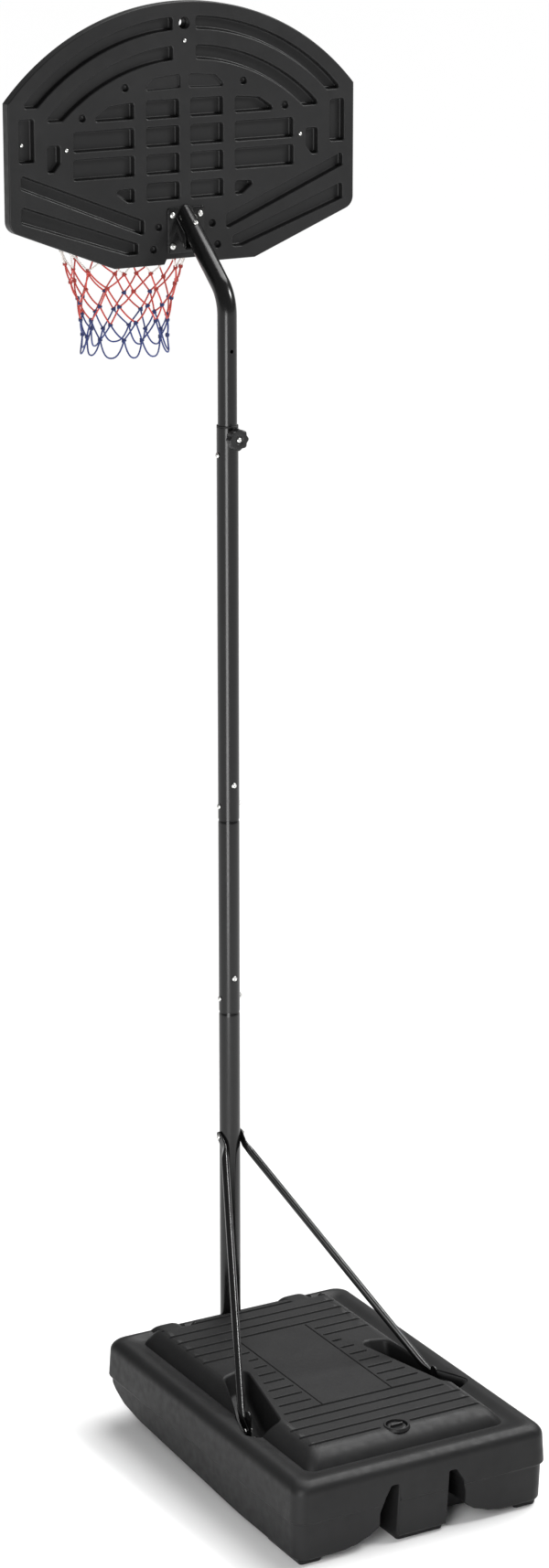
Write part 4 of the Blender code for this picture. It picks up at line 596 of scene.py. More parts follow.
# Each finish's maker, the setting that holds its colour, and the maker's other values
FINISHES = {
    "tank_plastic": (moulded_plastic, "tank", "plastic", 0.46, 1500.0, 14.0, 0.20),
    "board_plastic": (moulded_plastic, "board", "plastic", 0.42, 1300.0, 18.0, 0.28),
    "black_plastic": (moulded_plastic, "cap", "plastic", 0.38, 1800.0, 60.0, 0.4),
    "black_paint": (powder_coat, "pole", "paint", 0.20, 0.38),
    "rim_paint": (powder_coat, "rim", "paint", 0.30, 0.5),
    "zinc": (zinc_plate, "pole", "zinc"),
    "rubber": (rubber, "cap", "rubber"),
    "printed_lines": (screen_print, "board", "lines"),
    "cord_white": (twisted_cord, "net", "white"),
    "cord_red": (twisted_cord, "net", "red"),
    "cord_blue": (twisted_cord, "net", "blue"),
}
MADE = {}


def finish_named(name):
    """Make each finish once and share it."""
    if name not in MADE:
        maker, group, key, *values = FINISHES[name]
        MADE[name] = maker(name, tuple(getattr(settings(group), key)), *values)
    return MADE[name]


# Tank

# How far the sides lean in, where the deck ends at the front and the rear, the step round the
# sides, the number of levels below the shoulder, and the places of fill neck, panel and wheels
LEAN = 0.003
DECK_FRONT_INSET = 0.088
DECK_REAR_INSET = 0.130
LEDGE_PROFILE = ((0.0056, 0.0090), (0.0050, 0.0062), (0.0038, 0.0046), (0.0014, 0.0034),
                 (0.0003, 0.0018), (0.0, 0.0))
SIDE_LEVELS = 12
NECK_Y = 0.792
NECK_RISE = 0.003
PANEL_HALF, PANEL_FRONT, PANEL_REAR = 0.092, 0.205, 0.612
WHEEL_X = 0.178
WHEEL_Z = 0.0615
# The strut pocket on the +X side, from its outer front corner round to the inner front:
# corners 20 mm above the deck, corners of the floor, and the rounding of each
POCKET_RIM = [(0.222, 0.365), (0.2658, 0.510), (0.301, 0.626), (0.222, 0.648), (0.1889, 0.510),
              (0.147, 0.335)]
POCKET_FLOOR = [(0.218, 0.390), (0.2602, 0.510), (0.294, 0.618), (0.216, 0.638), (0.1927, 0.510),
                (0.169, 0.385)]
POCKET_ROUNDING = [0.022, 0.0, 0.018, 0.018, 0.0, 0.026]
POCKET_TOP = 0.250
POCKET_DEPTHS = (0.142, 0.178)
POCKET_FLAT = 0.510
POCKET_FRONT = 0.385


def skin_levels(s):
    """(inset, height) from the floor's edge, over the border and the valley, to the deck."""
    side = s.shoulder - s.shoulder_round
    crest = LEAN + s.shoulder_round
    valley = s.shoulder - s.valley_depth
    foot, toe = 0.016, 0.008
    levels = [(foot - toe * math.sin(a), s.lift + toe * (1 - math.cos(a))) for a in quarter(5)]
    levels += [(inset, s.ledge - below) for inset, below in LEDGE_PROFILE]
    bend = s.shoulder_round
    levels += [(LEAN + bend * (1 - math.cos(a)), side + bend * math.sin(a)) for a in quarter(9)]
    for step in range(1, 9):
        share = step / 8
        inset = crest + (s.valley_inset - crest) * share
        levels.append((inset, s.shoulder - s.valley_depth * smooth_step(share)))
    for share in (0.02, 0.05, 0.10, 0.16, 0.24, 0.34, 0.46, 0.6, 0.75, 0.89, 1.0):
        inset = s.valley_inset + share * (s.deck_inset - s.valley_inset)
        rise = 1 - (1 - share) ** 2.6
        levels.append((inset, valley + (s.deck - valley) * rise))
    return levels


def height_at(levels, inset):
    """Height of the tank's top this far in from its side."""
    top = levels[SIDE_LEVELS - 1:]
    for (low, start), (high, end) in zip(top, top[1:]):
        if low <= inset <= high:
            return start + (end - start) * (inset - low) / max(high - low, 1e-9)
    return top[0][1] if inset < top[0][0] else top[-1][1]


def inset_at(levels, height):
    """Inset of the tank's side at a height."""
    side = levels[:SIDE_LEVELS + 1]
    for (inset, low), (follow, high) in zip(side, side[1:]):
        if low <= height <= high:
            return inset + (follow - inset) * (height - low) / max(high - low, 1e-9)
    return levels[0][0] if height < levels[0][1] else LEAN


def skin_ring(s, inset, height, steps=9):
    """The tank's outline from above; past the border's crest its ends go in at their own rate."""
    crest = LEAN + s.shoulder_round
    border = min(inset, crest)
    share = (inset - border) / (s.deck_inset - crest)
    half = s.width / 2 - inset
    front = -s.front + border + share * (DECK_FRONT_INSET - crest)
    rear = s.depth - s.front - border - share * (DECK_REAR_INSET - crest)
    radius = s.corner - 0.13 * inset
    points = []
    for x, y, start in ((1, rear, 0), (-1, rear, 90), (-1, front, 180), (1, front, 270)):
        centre = (x * (half - radius), y - radius if y == rear else y + radius)
        points += arc(centre, radius, start, start + 90, steps)
    return [(x, y, height) for x, y in points]


def add_groove(bm, s, start, end, y):
    """One deck groove: soft lip, sloping sides, narrow floor and round ends."""
    half, lip = s.groove_half, 0.0013
    rings = [(half + lip + 0.0005, 0.004)]
    rings += [(half + lip * (1 - math.sin(a)), -lip * (1 - math.cos(a))) for a in quarter(3, 8)]
    rings += [(0.70 * half, -0.50 * s.groove_depth), (0.46 * half, -0.86 * s.groove_depth),
              (0.2 * half, -s.groove_depth)]
    loops = []
    for radius, height in rings:
        outline = arc((end - half, y), radius, -90, 90, 6)
        outline += arc((start + half, y), radius, 90, 270, 6)
        loops.append([(x, across, s.deck + height) for x, across in outline])
    loft(loops, bm)


def deck_grooves(s):
    """Straight grooves across the deck, clear of the panel, the pockets and the fill neck."""
    bm = bmesh.new()
    reach = s.width / 2 - 0.107
    first = 0.095 - s.front
    last = s.depth - s.front - 0.132
    front, rear = POCKET_RIM[5], POCKET_RIM[3]
    slope = (rear[0] - front[0]) / (rear[1] - front[1])
    ring = 0.040
    for index in range(int((last - first) / s.groove_pitch) + 1):
        y = first + index * s.groove_pitch
        inner, outer = 0.0, reach
        if PANEL_FRONT < y < PANEL_REAR:
            inner = PANEL_HALF + 0.010
        if abs(y - NECK_Y) < ring:
            inner = math.sqrt(ring ** 2 - (y - NECK_Y) ** 2)
        if front[1] - 0.014 < y < rear[1] + 0.012:
            outer = front[0] + slope * (y - front[1]) - 0.016
        if outer - inner < 0.02:
            continue
        runs = [(-outer, outer)] if inner == 0.0 else [(inner, outer), (-outer, -inner)]
        for start, end in runs:
            add_groove(bm, s, start, end, y)
    return bm


def pocket_cutter(side, s, levels):
    """The splayed recess that a strut foot stands in; its lip follows the tank's top."""
    deep, shallow = POCKET_DEPTHS
    upper = soften(POCKET_RIM, POCKET_ROUNDING, 5)
    lower = soften(POCKET_FLOOR, POCKET_ROUNDING, 5)
    pairs = []
    for index, (top, low) in enumerate(zip(upper, lower)):
        follow, follow_low = upper[(index + 1) % len(upper)], lower[(index + 1) % len(lower)]
        parts = max(1, round((Vector(follow) - Vector(top)).length / 0.014))
        for step in range(parts):
            share = step / parts
            pairs.append((blend(top, follow, share), blend(low, follow_low, share)))
    moves = outward([top for top, low in pairs])

    def floor_at(y):
        share = (y - POCKET_FRONT) / (POCKET_FLAT - POCKET_FRONT)
        return shallow + (deep - shallow) * min(max(share, 0.0), 1.0)

    def on_wall(top, low, height):
        floor = floor_at(low[1])
        return blend(low, top, (height - floor) / (POCKET_TOP - floor))

    rims = []
    for (top, low), move in zip(pairs, moves):
        surface = s.deck
        for _ in range(3):
            surface = height_at(levels, s.width / 2 - on_wall(top, low, surface)[0])
        lip = 0.0045 + 0.0065 * max(move.normalized().x, 0.0) ** 2
        rims.append((surface, lip))

    def ring(make):
        loop = []
        for (top, low), move, (surface, lip) in zip(pairs, moves, rims):
            out, height = make(surface, lip, floor_at(low[1]))
            spot = Vector(on_wall(top, low, min(height, surface))) + move.normalized() * out
            loop.append((side * spot.x, spot.y, height))
        return loop

    loops = [
        ring(lambda surface, lip, floor: (lip + 0.0012, surface + 0.045)),
        ring(lambda surface, lip, floor: (lip + 0.0008, surface + 0.004)),
    ]
    for a in quarter(6, 7):
        out, down = 1 - math.sin(a), 1 - math.cos(a)
        loops.append(ring(lambda surface, lip, floor: (lip * out, surface - lip * down)))
    bottom = 0.010
    for share in (0.33, 0.66):
        loops.append(ring(lambda surface, lip, floor: (
            0.0, (surface - lip) + (floor + bottom - surface + lip) * share)))
    for a in quarter(4):
        loops.append(ring(lambda surface, lip, floor: (
            -bottom * (1 - math.cos(a)), floor + bottom * (1 - math.sin(a)) * 0.999 + 0.00001)))
    bm = loft(loops)
    low_faces = [
        face for face in bm.faces if len(face.verts) > 8 and face.calc_center_median().z < 0.19
    ]
    for face in low_faces:
        bends = sorted(face.verts, key=lambda vert: abs(vert.co.y - POCKET_FLAT))[:2]
        bmesh.utils.face_split(face, bends[0], bends[1])
    return bm


def rear_slot_cutter(side, s, levels):
    """Finger slot beside the rear block, running into the low arch under the tank's end."""
    outline = [
        (0.068, -0.020), (0.068, 0.150), (0.086, 0.150), (0.104, 0.120), (0.113, 0.0855),
        (0.113, 0.054), (0.1385, 0.0367), (0.1742, 0.0227), (0.215, 0.0130), (0.215, -0.020),
    ]
    outline = soften(outline, [0, 0.003, 0.008, 0.030, 0.030, 0.016, 0.030, 0.040, 0.004, 0], 4)
    rear = s.depth - s.front
    lip = 0.0045
    loops = []
    stack = [(lip + 0.004, -0.012), (lip * 0.92, -0.0004), (lip * 0.55, 0.0006),
             (lip * 0.22, 0.0019), (0.0, lip), (0.0, 0.058), (-0.0006, 0.070), (-0.0018, 0.0745)]
    for out, back in stack:
        wider = offset(outline, out)
        loops.append([(side * x, rear - inset_at(levels, z) - back, z) for x, z in wider])
    return loft(loops)


def tank_feet(s):
    """Flat feet: four near the corners and the wide one under the rear block."""
    edge = s.width / 2 - 0.024
    back = s.depth - s.front - 0.024
    places = [(-0.059, 0.059, back - 0.110, back)]
    for sign in (1, -1):
        places.append((*sorted((sign * (edge - 0.052), sign * edge)), back - 0.150, back))
        places.append((*sorted((sign * 0.052, sign * 0.128)), 0.004, 0.085))
    feet = bmesh.new()
    for x1, x2, y1, y2 in places:
        base = soften([(x1, y1), (x2, y1), (x2, y2), (x1, y2)], 0.006, 4)
        loops = []
        for out, height in ((0.0, 0.0), (0.0012, 0.0006), (0.002, 0.002), (0.006, s.lift + 0.004)):
            loops.append([(x, y, height) for x, y in offset(base, out)])
        loft(loops, feet)
    return feet


def wheel_hump(side, s):
    """The rounded top of the wheel well, a little above the border."""
    half, base = 0.039, s.shoulder - 0.060
    stations = ((0.004, 0.018), (0.0055, 0.0125), (0.008, 0.0088), (0.011, 0.0060), (0.016, 0.0028),
                (0.022, 0.0010), (0.028, 0.0003), (0.034, 0.0), (0.088, 0.0))
    loops = []
    for behind, drop in stations:
        top = s.shoulder + 0.006 - drop
        arch = [(half * (1 - step / 8), top - 0.010 * abs(1 - step / 8) ** 4) for step in range(17)]
        ring = [(half, base)] + arch + [(-half, base)]
        loops.append([(side * WHEEL_X + x, behind - s.front, z) for x, z in ring])
    return loft(loops)


def deck_notch(side, s):
    """A step down in the deck's front edge, where the top of the wheel well shows."""
    floor = s.shoulder - 0.5 * s.valley_depth
    left, right, front, rear = side * WHEEL_X - 0.045, side * WHEEL_X + 0.045, -0.046, 0.062
    base = [(left, front), (right, front), (right, rear), (left, rear)]
    base = soften(base, [0, 0, 0.012, 0.012], 5)
    stack = (
        (-0.004, floor), (-0.0012, floor + 0.0012), (0.0, floor + 0.004), (0.005, s.deck - 0.004),
        (0.0064, s.deck - 0.0012), (0.009, s.deck + 0.0006), (0.012, s.deck + 0.02),
    )
    loops = []
    for out, height in stack:
        loops.append([(x, y, height) for x, y in offset(base, out)])
    return loft(loops)


def panel_groove(s):
    """The fine step on the long sides of the smooth panel in the middle of the deck."""
    bm = bmesh.new()
    stack = (
        (0.0016, 0.003), (0.0014, 0.0001), (0.0006, -0.0003), (0.0, -0.0010), (-0.0006, -0.0020),
    )
    for side in (1, -1):
        inner, outer = side * PANEL_HALF, side * (PANEL_HALF + 0.003)
        base = [
            (inner, PANEL_FRONT), (outer, PANEL_FRONT), (outer, PANEL_REAR), (inner, PANEL_REAR),
        ]
        loops = []
        for out, height in stack:
            loops.append([(x, y, s.deck + height) for x, y in offset(base, out)])
        loft(loops, bm)
    return bm


def pole_channel(s):
    """The upright groove in the tank's front that the pole stands in."""
    radius, floor = 0.0257, 0.0357
    outline = [(-radius, -0.046), (radius, -0.046)] + arc((0, 0), radius, -6, 186, 33)
    return prism(outline, "Z", floor, s.deck + 0.02)


def axle_slot():
    """The groove under the tank that the wheels' axle lies in."""
    radius = 0.0065
    outline = [(-radius, -0.02), (radius, -0.02)] + arc((0, WHEEL_Z), radius, 0, 180, 15)
    return prism(outline, "X", -WHEEL_X, WHEEL_X)


def wheel_well(side):
    """The space round one wheel, open to the floor and the front."""
    radius, half, front, top = 0.0695, 0.031, -0.076, 0.131
    outline = [(front, -0.05), (radius, -0.05)] + arc((0, WHEEL_Z), radius, 0, 90, 18)
    outline.append((front, top))
    return prism(outline, "X", side * WHEEL_X - half, side * WHEEL_X + half)


def side_relief(side, s):
    """The long lower edge of the tank's side, rising to the front."""
    outline = [
        (-0.046, -0.02), (0.734, -0.02), (0.734, 0.0135), (0.140, 0.048), (0.0652, 0.0608),
        (0.0244, 0.080), (0.004, 0.097), (0.004, 0.112), (-0.046, 0.112),
    ]
    outline = soften(outline, [0, 0, 0, 0.30, 0.05, 0.05, 0.016, 0, 0], 6)
    return prism(outline, "X", *sorted((side * 0.221, side * (s.width / 2 + 0.02))))


def cap_seat():
    """Height of the fill cap's seat, below the boss round the neck."""
    return settings("tank").deck + NECK_RISE - settings("cap").seat_depth


def neck_boss(s):
    """The low boss round the fill neck."""
    profile = [(0.0, NECK_RISE), (0.0292, NECK_RISE), (0.0322, -0.004), (0.0, -0.004)]
    profile = soften(profile, [0, 0.002, 0, 0], 4)
    return spun(profile, 64, Matrix.Translation((0, NECK_Y, s.deck)))


def neck_recess(s):
    """The round recess that the cap is screwed into, with a flared lip."""
    seat, rim = cap_seat(), s.deck + NECK_RISE
    profile = [
        (0.0, seat), (0.0245, seat), (0.025, seat + 0.0006), (0.025, rim - 0.0012),
        (0.0254, rim - 0.0003), (0.0268, rim + 0.0004), (0.0268, rim + 0.02), (0.0, rim + 0.02),
    ]
    return spun(profile, 64, Matrix.Translation((0, NECK_Y, 0)))


class StandTank(bpy.types.Operator):
    """Blow-moulded water tank with its deck grooves, strut pockets, feet and finger slots"""

    bl_idname = "stand.tank"
    bl_label = "Tank"

    def execute(self, context):
        s = settings("tank")
        levels = skin_levels(s)
        tank = loft([skin_ring(s, inset, height) for inset, height in levels])
        steps = [(tank_feet(s), "UNION")]
        for side, _, _ in SIDES:
            steps += [(deck_notch(side, s), "DIFFERENCE"), (wheel_hump(side, s), "UNION")]
        steps.append((neck_boss(s), "UNION"))
        cutters = [deck_grooves(s), panel_groove(s), pole_channel(s), axle_slot()]
        for side, _, _ in SIDES:
            cutters += [pocket_cutter(side, s, levels), wheel_well(side)]
            cutters += [rear_slot_cutter(side, s, levels), side_relief(side, s)]
        cutters += [neck_recess(s), rod((0, NECK_Y, s.deck - 0.05), "Z", 0.017, 0.16, 48)]
        steps += [(cutter, "DIFFERENCE") for cutter in cutters]
        show("tank", carve(tank, *steps), "tank_plastic", 40.0, even=True, node="base_tank")
        return {"FINISHED"}


class StandCap(bpy.types.Operator):
    """Knurled screw cap of the fill neck, with its grip bar, thread and sealing ring"""

    bl_idname = "stand.cap"
    bl_label = "Fill cap"

    def execute(self, context):
        s = settings("cap")
        seat = cap_seat()
        spot = Matrix.Translation((0, NECK_Y, seat))
        inner, outer, low, high = 0.0174, 0.0210, 0.0003, 0.0019
        ring = soften([(inner, low), (outer, low), (outer, high), (inner, high)], 0.0005, 3)
        show("cap_gasket", spun(ring, 48, spot), "rubber")
        loops = []
        stack = ((0.0012, 0.0022), (0.0002, 0.0026), (0.0, 0.0032), (0.0, 0.0054), (0.0004, 0.0062),
                 (0.0014, 0.0067))
        for inset, height in stack:
            points = []
            for step in range(120):
                a = math.tau * step / 120
                radius = s.radius - inset + 0.0005 * math.cos(30 * a) * (inset < 0.001)
                points.append((radius * math.cos(a), NECK_Y + radius * math.sin(a), seat + height))
            loops.append(points)
        body = loft(loops)
        plug = [(0.0, 0.004), (0.0155, 0.004)]
        for step in range(6):
            low = 0.0008 - 0.0026 * step
            plug += [(0.0155, low), (0.0162, low - 0.0007), (0.0162, low - 0.0013),
                     (0.0155, low - 0.0020)]
        plug += [(0.0150, -0.016), (0.0137, -0.016), (0.0137, 0.003), (0.0, 0.003)]
        dish = [(0.0, 0.0059), (0.0172, 0.0059), (0.0182, 0.0080), (0.0, 0.0080)]
        dish = soften(dish, [0, 0.0004, 0, 0], 3)
        near, far = NECK_Y - 0.003, NECK_Y + 0.003
        bar = [(-0.016, near), (0.016, near), (0.016, far), (-0.016, far)]
        grip = prism(soften(bar, 0.0028, 5), "Z", seat + 0.0045, seat + 0.0127, 0.0010)
        steps = [(spun(dish, 64, spot), "DIFFERENCE"), (grip, "UNION")]
        steps.append((spun(plug, 48, spot), "UNION"))
        show("fill_cap", carve(body, *steps), "black_plastic")
        return {"FINISHED"}


# Wheels and axle

# Half of a wheel's section from the tyre's inner edge to the bore, and the push nut's section
RIM_TO_BORE = (
    (0.0475, 0.018), (0.0465, 0.017), (0.0460, 0.005), (0.0450, 0.004), (0.0150, 0.004),
    (0.0135, 0.0055), (0.0135, 0.0192), (0.0127, 0.020), (0.0065, 0.020),
)
PUSH_NUT = (
    (0.0063, 0.0), (0.0110, 0.0), (0.0108, 0.0010), (0.0098, 0.0026), (0.0086, 0.0037),
    (0.0074, 0.0040), (0.0063, 0.0040),
)


def wheel_section():
    """Section of a wheel: tread with three grooves, web and hub."""
    tread, bottom = 0.0575, 0.0562
    profile = [(0.0545, 0.018), (tread, 0.014)]
    for middle in (0.007, 0.0, -0.007):
        profile += [(tread, middle + 0.0016), (bottom, middle + 0.0008), (bottom, middle - 0.0008)]
        profile.append((tread, middle - 0.0016))
    profile += [(tread, -0.014), (0.0545, -0.018)]
    profile += [(radius, -along) for radius, along in RIM_TO_BORE]
    return profile + list(reversed(RIM_TO_BORE))


class StandWheels(bpy.types.Operator):
    """Two ribbed transport wheels, their axle and its push nuts"""

    bl_idname = "stand.wheels"
    bl_label = "Wheels"

    def execute(self, context):
        for side, axis, word in SIDES:
            centre = (side * WHEEL_X, 0, WHEEL_Z)
            wheel = spun(wheel_section(), 72, placed(centre, "X"))
            for index in range(6):
                rib = box((0.0125, -0.0018, -0.014), (0.0475, 0.0018, 0.014), 0.0006)
                turn = placed(centre, "X") @ Matrix.Rotation(math.tau * index / 6, 4, "Z")
                bmesh.ops.transform(rib, matrix=turn, verts=rib.verts)
                wheel = carve(wheel, (rib, "UNION"))
            show(f"wheel_{word}", wheel, "black_plastic")
            push_nut = spun(PUSH_NUT, 40, placed((side * 0.1983, 0, WHEEL_Z), axis))
            show(f"axle_push_nut_{word}", push_nut, "zinc")
        end = 0.2043
        profile = [(0.0, -end), (0.006, -end), (0.006, end), (0.0, end)]
        profile = soften(profile, [0, 0.0012, 0.0012, 0], 3)
        show("wheel_axle", spun(profile, 40, placed((0, 0, WHEEL_Z), "X")), "zinc")
        return {"FINISHED"}


# Fasteners: radii of the small and large bolts and of their holes, and where the four bolts go
# through arm bracket, board and rim bracket

SMALL, LARGE = 0.003, 0.004
SMALL_HOLE, LARGE_HOLE = 0.0034, 0.0044
PLATE_BOLTS = [(x, 2.851 + z) for x in (-0.036, 0.036) for z in (-0.036, 0.036)]
# The two through bolts above each joint of the pole: way, side of its nut, height and name
JOINT_BOLTS = (("X", "-X", 0.033, "cross"), ("Y", "-Y", 0.087, "rear"))


def bolt(radius, reach, seat, axis):
    """Domed bolt with a hexagon socket and a thread at its end."""
    head, height = radius + 0.0035, 0.0045
    profile = [(0.0, height), (0.30 * head, height)]
    edge = 0.0006
    for a in quarter(6)[1:]:
        profile.append((head * (0.30 + 0.70 * math.sin(a)), edge + (height - edge) * math.cos(a)))
    profile += [(head - 0.0004, 0.0), (radius, 0.0), (radius, -max(reach - 0.012, 0.0005))]
    turns = int(min(reach - 0.001, 0.0115) / 0.001)
    for turn in range(turns):
        low = -reach + 0.0007 + 0.001 * (turns - 1 - turn)
        profile += [(radius, low + 0.0008), (radius, low + 0.0006), (radius - 0.0005, low + 0.0002)]
    profile += [(radius - 0.0008, -reach), (0.0, -reach)]
    matrix = placed(seat, axis)
    socket = rod(matrix @ Vector((0, 0, height)), axis, 0.0024, 0.0044, 6)
    return cut(spun(profile, 24, matrix), socket)


def cross_screw(spot):
    """A small domed screw head with a cross recess, looking backwards."""
    dome = [
        (0.0, 0.003), (0.0012, 0.0030), (0.0026, 0.0027), (0.0037, 0.0020), (0.0044, 0.0010),
        (0.0045, 0.0002), (0.0044, 0.0), (0.0, 0.0),
    ]
    slots = []
    for turn in (0, 1):
        slot = box((-0.0022, -0.0004, 0.0016), (0.0022, 0.0004, 0.004))
        matrix = placed(spot, "Y") @ Matrix.Rotation(math.radians(90 * turn + 20), 4, "Z")
        bmesh.ops.transform(slot, matrix=matrix, verts=slot.verts)
        slots.append(slot)
    return cut(spun(dome, 24, placed(spot, "Y")), *slots)


def hex_nut(radius, seat, axis):
    """Hexagon nut with both faces chamfered."""
    height = 0.005
    corner = (radius + 0.0035) / math.cos(math.radians(30))
    matrix = placed(seat, axis)
    body = rod(matrix @ Vector((0, 0, height / 2)), axis, corner, height, 6)
    chamfer = [
        (0.0, -0.001), (corner - 0.0014, -0.001), (corner - 0.0006, 0.0),
        (corner + 0.0002, 0.0007), (corner + 0.0002, height - 0.0010), (corner - 0.0010, height),
        (corner - 0.0016, height + 0.001), (0.0, height + 0.001),
    ]
    bore = rod(matrix @ Vector((0, 0, height / 2)), axis, radius + 0.0002, 3 * height, 24)
    return carve(body, (spun(chamfer, 36, matrix), "INTERSECT"), (bore, "DIFFERENCE"))


def fasten(name, shape):
    show(name, shape, "zinc", 28.0)


class StandFasteners(bpy.types.Operator):
    """Every bolt, nut and screw, each one a piece of its own"""

    bl_idname = "stand.fasteners"
    bl_label = "Bolts and nuts"

    def execute(self, context):
        pole, board = settings("pole"), settings("board")
        seat = pole.radius + GAP
        for seam, word in ((pole.seam_low, "low"), (pole.seam_high, "high")):
            for axis, against, rise, way in JOINT_BOLTS:
                side = Vector((seat, 0, 0) if axis == "X" else (0, seat, 0))
                spot = Vector((0, 0, seam + rise))
                fasten(f"joint_bolt_{word}_{way}", bolt(SMALL, 2 * seat + 0.009, spot + side, axis))
                fasten(f"joint_nut_{word}_{way}", hex_nut(SMALL, spot - side, against))
        top = Vector((0.0305, 0, STRUT_TOP.z))
        fasten("strut_top_bolt", bolt(SMALL, 0.070, top, "X"))
        fasten("strut_top_nut", hex_nut(SMALL, (-top.x, 0, top.z), "-X"))
        _, y, z = STRUT_FOOT
        for side, axis, word in SIDES:
            back = "-X" if side > 0 else "X"
            fasten(f"foot_bolt_{word}", bolt(SMALL, 0.0174, (side * 0.25955, y, z), axis))
            fasten(f"foot_nut_{word}", hex_nut(SMALL, (side * 0.25115, y, z), back))
            fasten(f"foot_screw_{word}", bolt(SMALL, 0.0033, (side * 0.23645, y, 0.1456), "Z"))
        fasten("bush_screw", bolt(SMALL, 0.0026, (seat, 0, pole.top - BUSH_SCREW_DROP), "X"))
        back = BOARD_BACK + PLATE_FACE
        front = BOARD_BACK - board.thickness - PLATE_FACE
        for index, (x, z) in enumerate(PLATE_BOLTS, 1):
            fasten(f"bracket_bolt_{index}", bolt(LARGE, 0.0462, (x, back, z), "Y"))
            fasten(f"bracket_nut_{index}", hex_nut(LARGE, (x, front, z), "-Y"))
        at = arm_point(ARM_BOLT_BACK)
        under = pole.top_radius + 3 * GAP + SHEET
        over = pole.top_radius + GAP
        fasten("arm_bolt", bolt(SMALL, over + under + 0.009, at + ARM_NORMAL * over, ARM_NORMAL))
        fasten("arm_nut", hex_nut(SMALL, at - ARM_NORMAL * under, -ARM_NORMAL))
        for word, across, up, depth in SCREWS:
            spot = (across * board.width / 2, BOARD_BACK - depth + GAP,
                    BOARD_FOOT + up * board.height)
            fasten(f"board_screw_{word}", cross_screw(spot))
        return {"FINISHED"}


# Poles and struts

STRUT_TOP = Vector((0.02795, 0.0, 0.672))
STRUT_FOOT = Vector((0.257, 0.545, 0.172))
TAB_HALF = 0.0125
TAB_THICKNESS = 0.0045
TAB_LENGTH = 0.031
BUSH_SCREW_DROP = 0.065


class StandPoles(bpy.types.Operator):
    """Three steel pole sections, the lower two drawn in at the top to enter the next"""

    bl_idname = "stand.poles"
    bl_label = "Poles"

    def execute(self, context):
        s = settings("pole")
        bore = s.radius - s.wall
        slim = bore - GAP
        sections = (
            ("pole_lower", 0.036, s.seam_low), ("pole_middle", s.seam_low, s.seam_high),
            ("pole_upper", s.seam_high, s.top),
        )
        for name, foot, top in sections:
            profile = [(bore + 0.0004, foot), (s.radius - 0.0005, foot), (s.radius, foot + 0.0005)]
            if name == "pole_upper":
                profile += [(s.radius, top - 0.0005), (s.radius - 0.0005, top), (bore, top)]
            else:
                shoulder, end = top - GAP, top + 0.125
                profile.append((s.radius, shoulder - 0.011))
                for share in [step / 6 for step in range(7)]:
                    reach = s.radius - (s.radius - slim) * smooth_step(share)
                    profile.append((reach, shoulder - 0.010 * (1 - share)))
                profile += [(slim, end - 0.002), (slim - 0.001, end), (slim - s.wall, end)]
                profile += [(slim - s.wall, shoulder - 0.002), (bore, shoulder - 0.012)]
            profile.append((bore, foot + 0.0004))
            show(name, spun(profile, 72), "black_paint")
        return {"FINISHED"}


def strut_shape(side, radius):
    """A round tube whose ends are pressed flat into rounded tabs."""
    top = Vector((STRUT_TOP.y, STRUT_TOP.z))
    foot = Vector((STRUT_FOOT.y, STRUT_FOOT.z))
    span = (foot - top).length
    down = (foot - top).normalized()
    across = Vector((-down.y, down.x))
    stations = []
    for a in quarter(6):
        stations.append((TAB_HALF * (1 - math.cos(a)) - TAB_HALF, max(math.sin(a), 0.12), 0.0))
    neck = TAB_LENGTH - 0.008
    stations += [(0.4 * TAB_LENGTH, 1.0, 0.0), (neck, 1.0, 0.0)]
    stations += [(neck + 0.038 * step / 8, 1.0, smooth_step(step / 8)) for step in range(1, 9)]
    stations += [(span - along, width, roundness) for along, width, roundness in reversed(stations)]
    loops = []
    for along, width, roundness in stations:
        share = min(max((along - TAB_LENGTH) / (span - 2 * TAB_LENGTH), 0.0), 1.0)
        middle = STRUT_TOP.x + (STRUT_FOOT.x - STRUT_TOP.x) * share
        thick = TAB_THICKNESS / 2 + (radius - TAB_THICKNESS / 2) * roundness
        wide = (TAB_HALF + (radius - TAB_HALF) * roundness) * width
        power = 0.42 + 0.58 * roundness
        centre = top + down * along
        loop = []
        for step in range(32):
            a = math.tau * (step + 0.5) / 32
            x = thick * math.copysign(abs(math.cos(a)) ** power, math.cos(a))
            spot = centre + across * (wide * math.copysign(abs(math.sin(a)) ** power, math.sin(a)))
            loop.append((side * (middle + x), spot.x, spot.y))
        loops.append(loop)
    return loft(loops)


class StandStruts(bpy.types.Operator):
    """Two tube struts with flattened ends, and the bent ears they are bolted to"""

    bl_idname = "stand.struts"
    bl_label = "Struts"

    def execute(self, context):
        floor, ear, height = 0.1423, 0.25445, 0.078
        for side, _, word in SIDES:
            strut = strut_shape(side, settings("pole").strut_radius)
            show(f"strut_{word}", strut, "black_paint", 40.0)
            y, half = STRUT_FOOT.y, 0.014
            outline = [(y - half, floor), (y + half, floor)]
            outline += arc((y, floor + height - half), half, 0, 180, 16)
            upright = prism(outline, "X", *sorted((side * ear, side * (ear - SHEET))), 0.0005)
            ends = sorted((side * (ear - 0.0010), side * (ear - 0.030)))
            low = (ends[0], y - half + 0.001, floor)
            high = (ends[1], y + half - 0.001, floor + SHEET)
            flange = box(low, high, 0.0005)
            bracket = carve(upright, (flange, "UNION"))
            show(f"foot_bracket_{word}", bracket, "black_paint")
        return {"FINISHED"}


# Height clamp: the knob's near face behind the pole's axis, and its screw's pitch

KNOB_FACE = 0.0374
PITCH = 0.00125


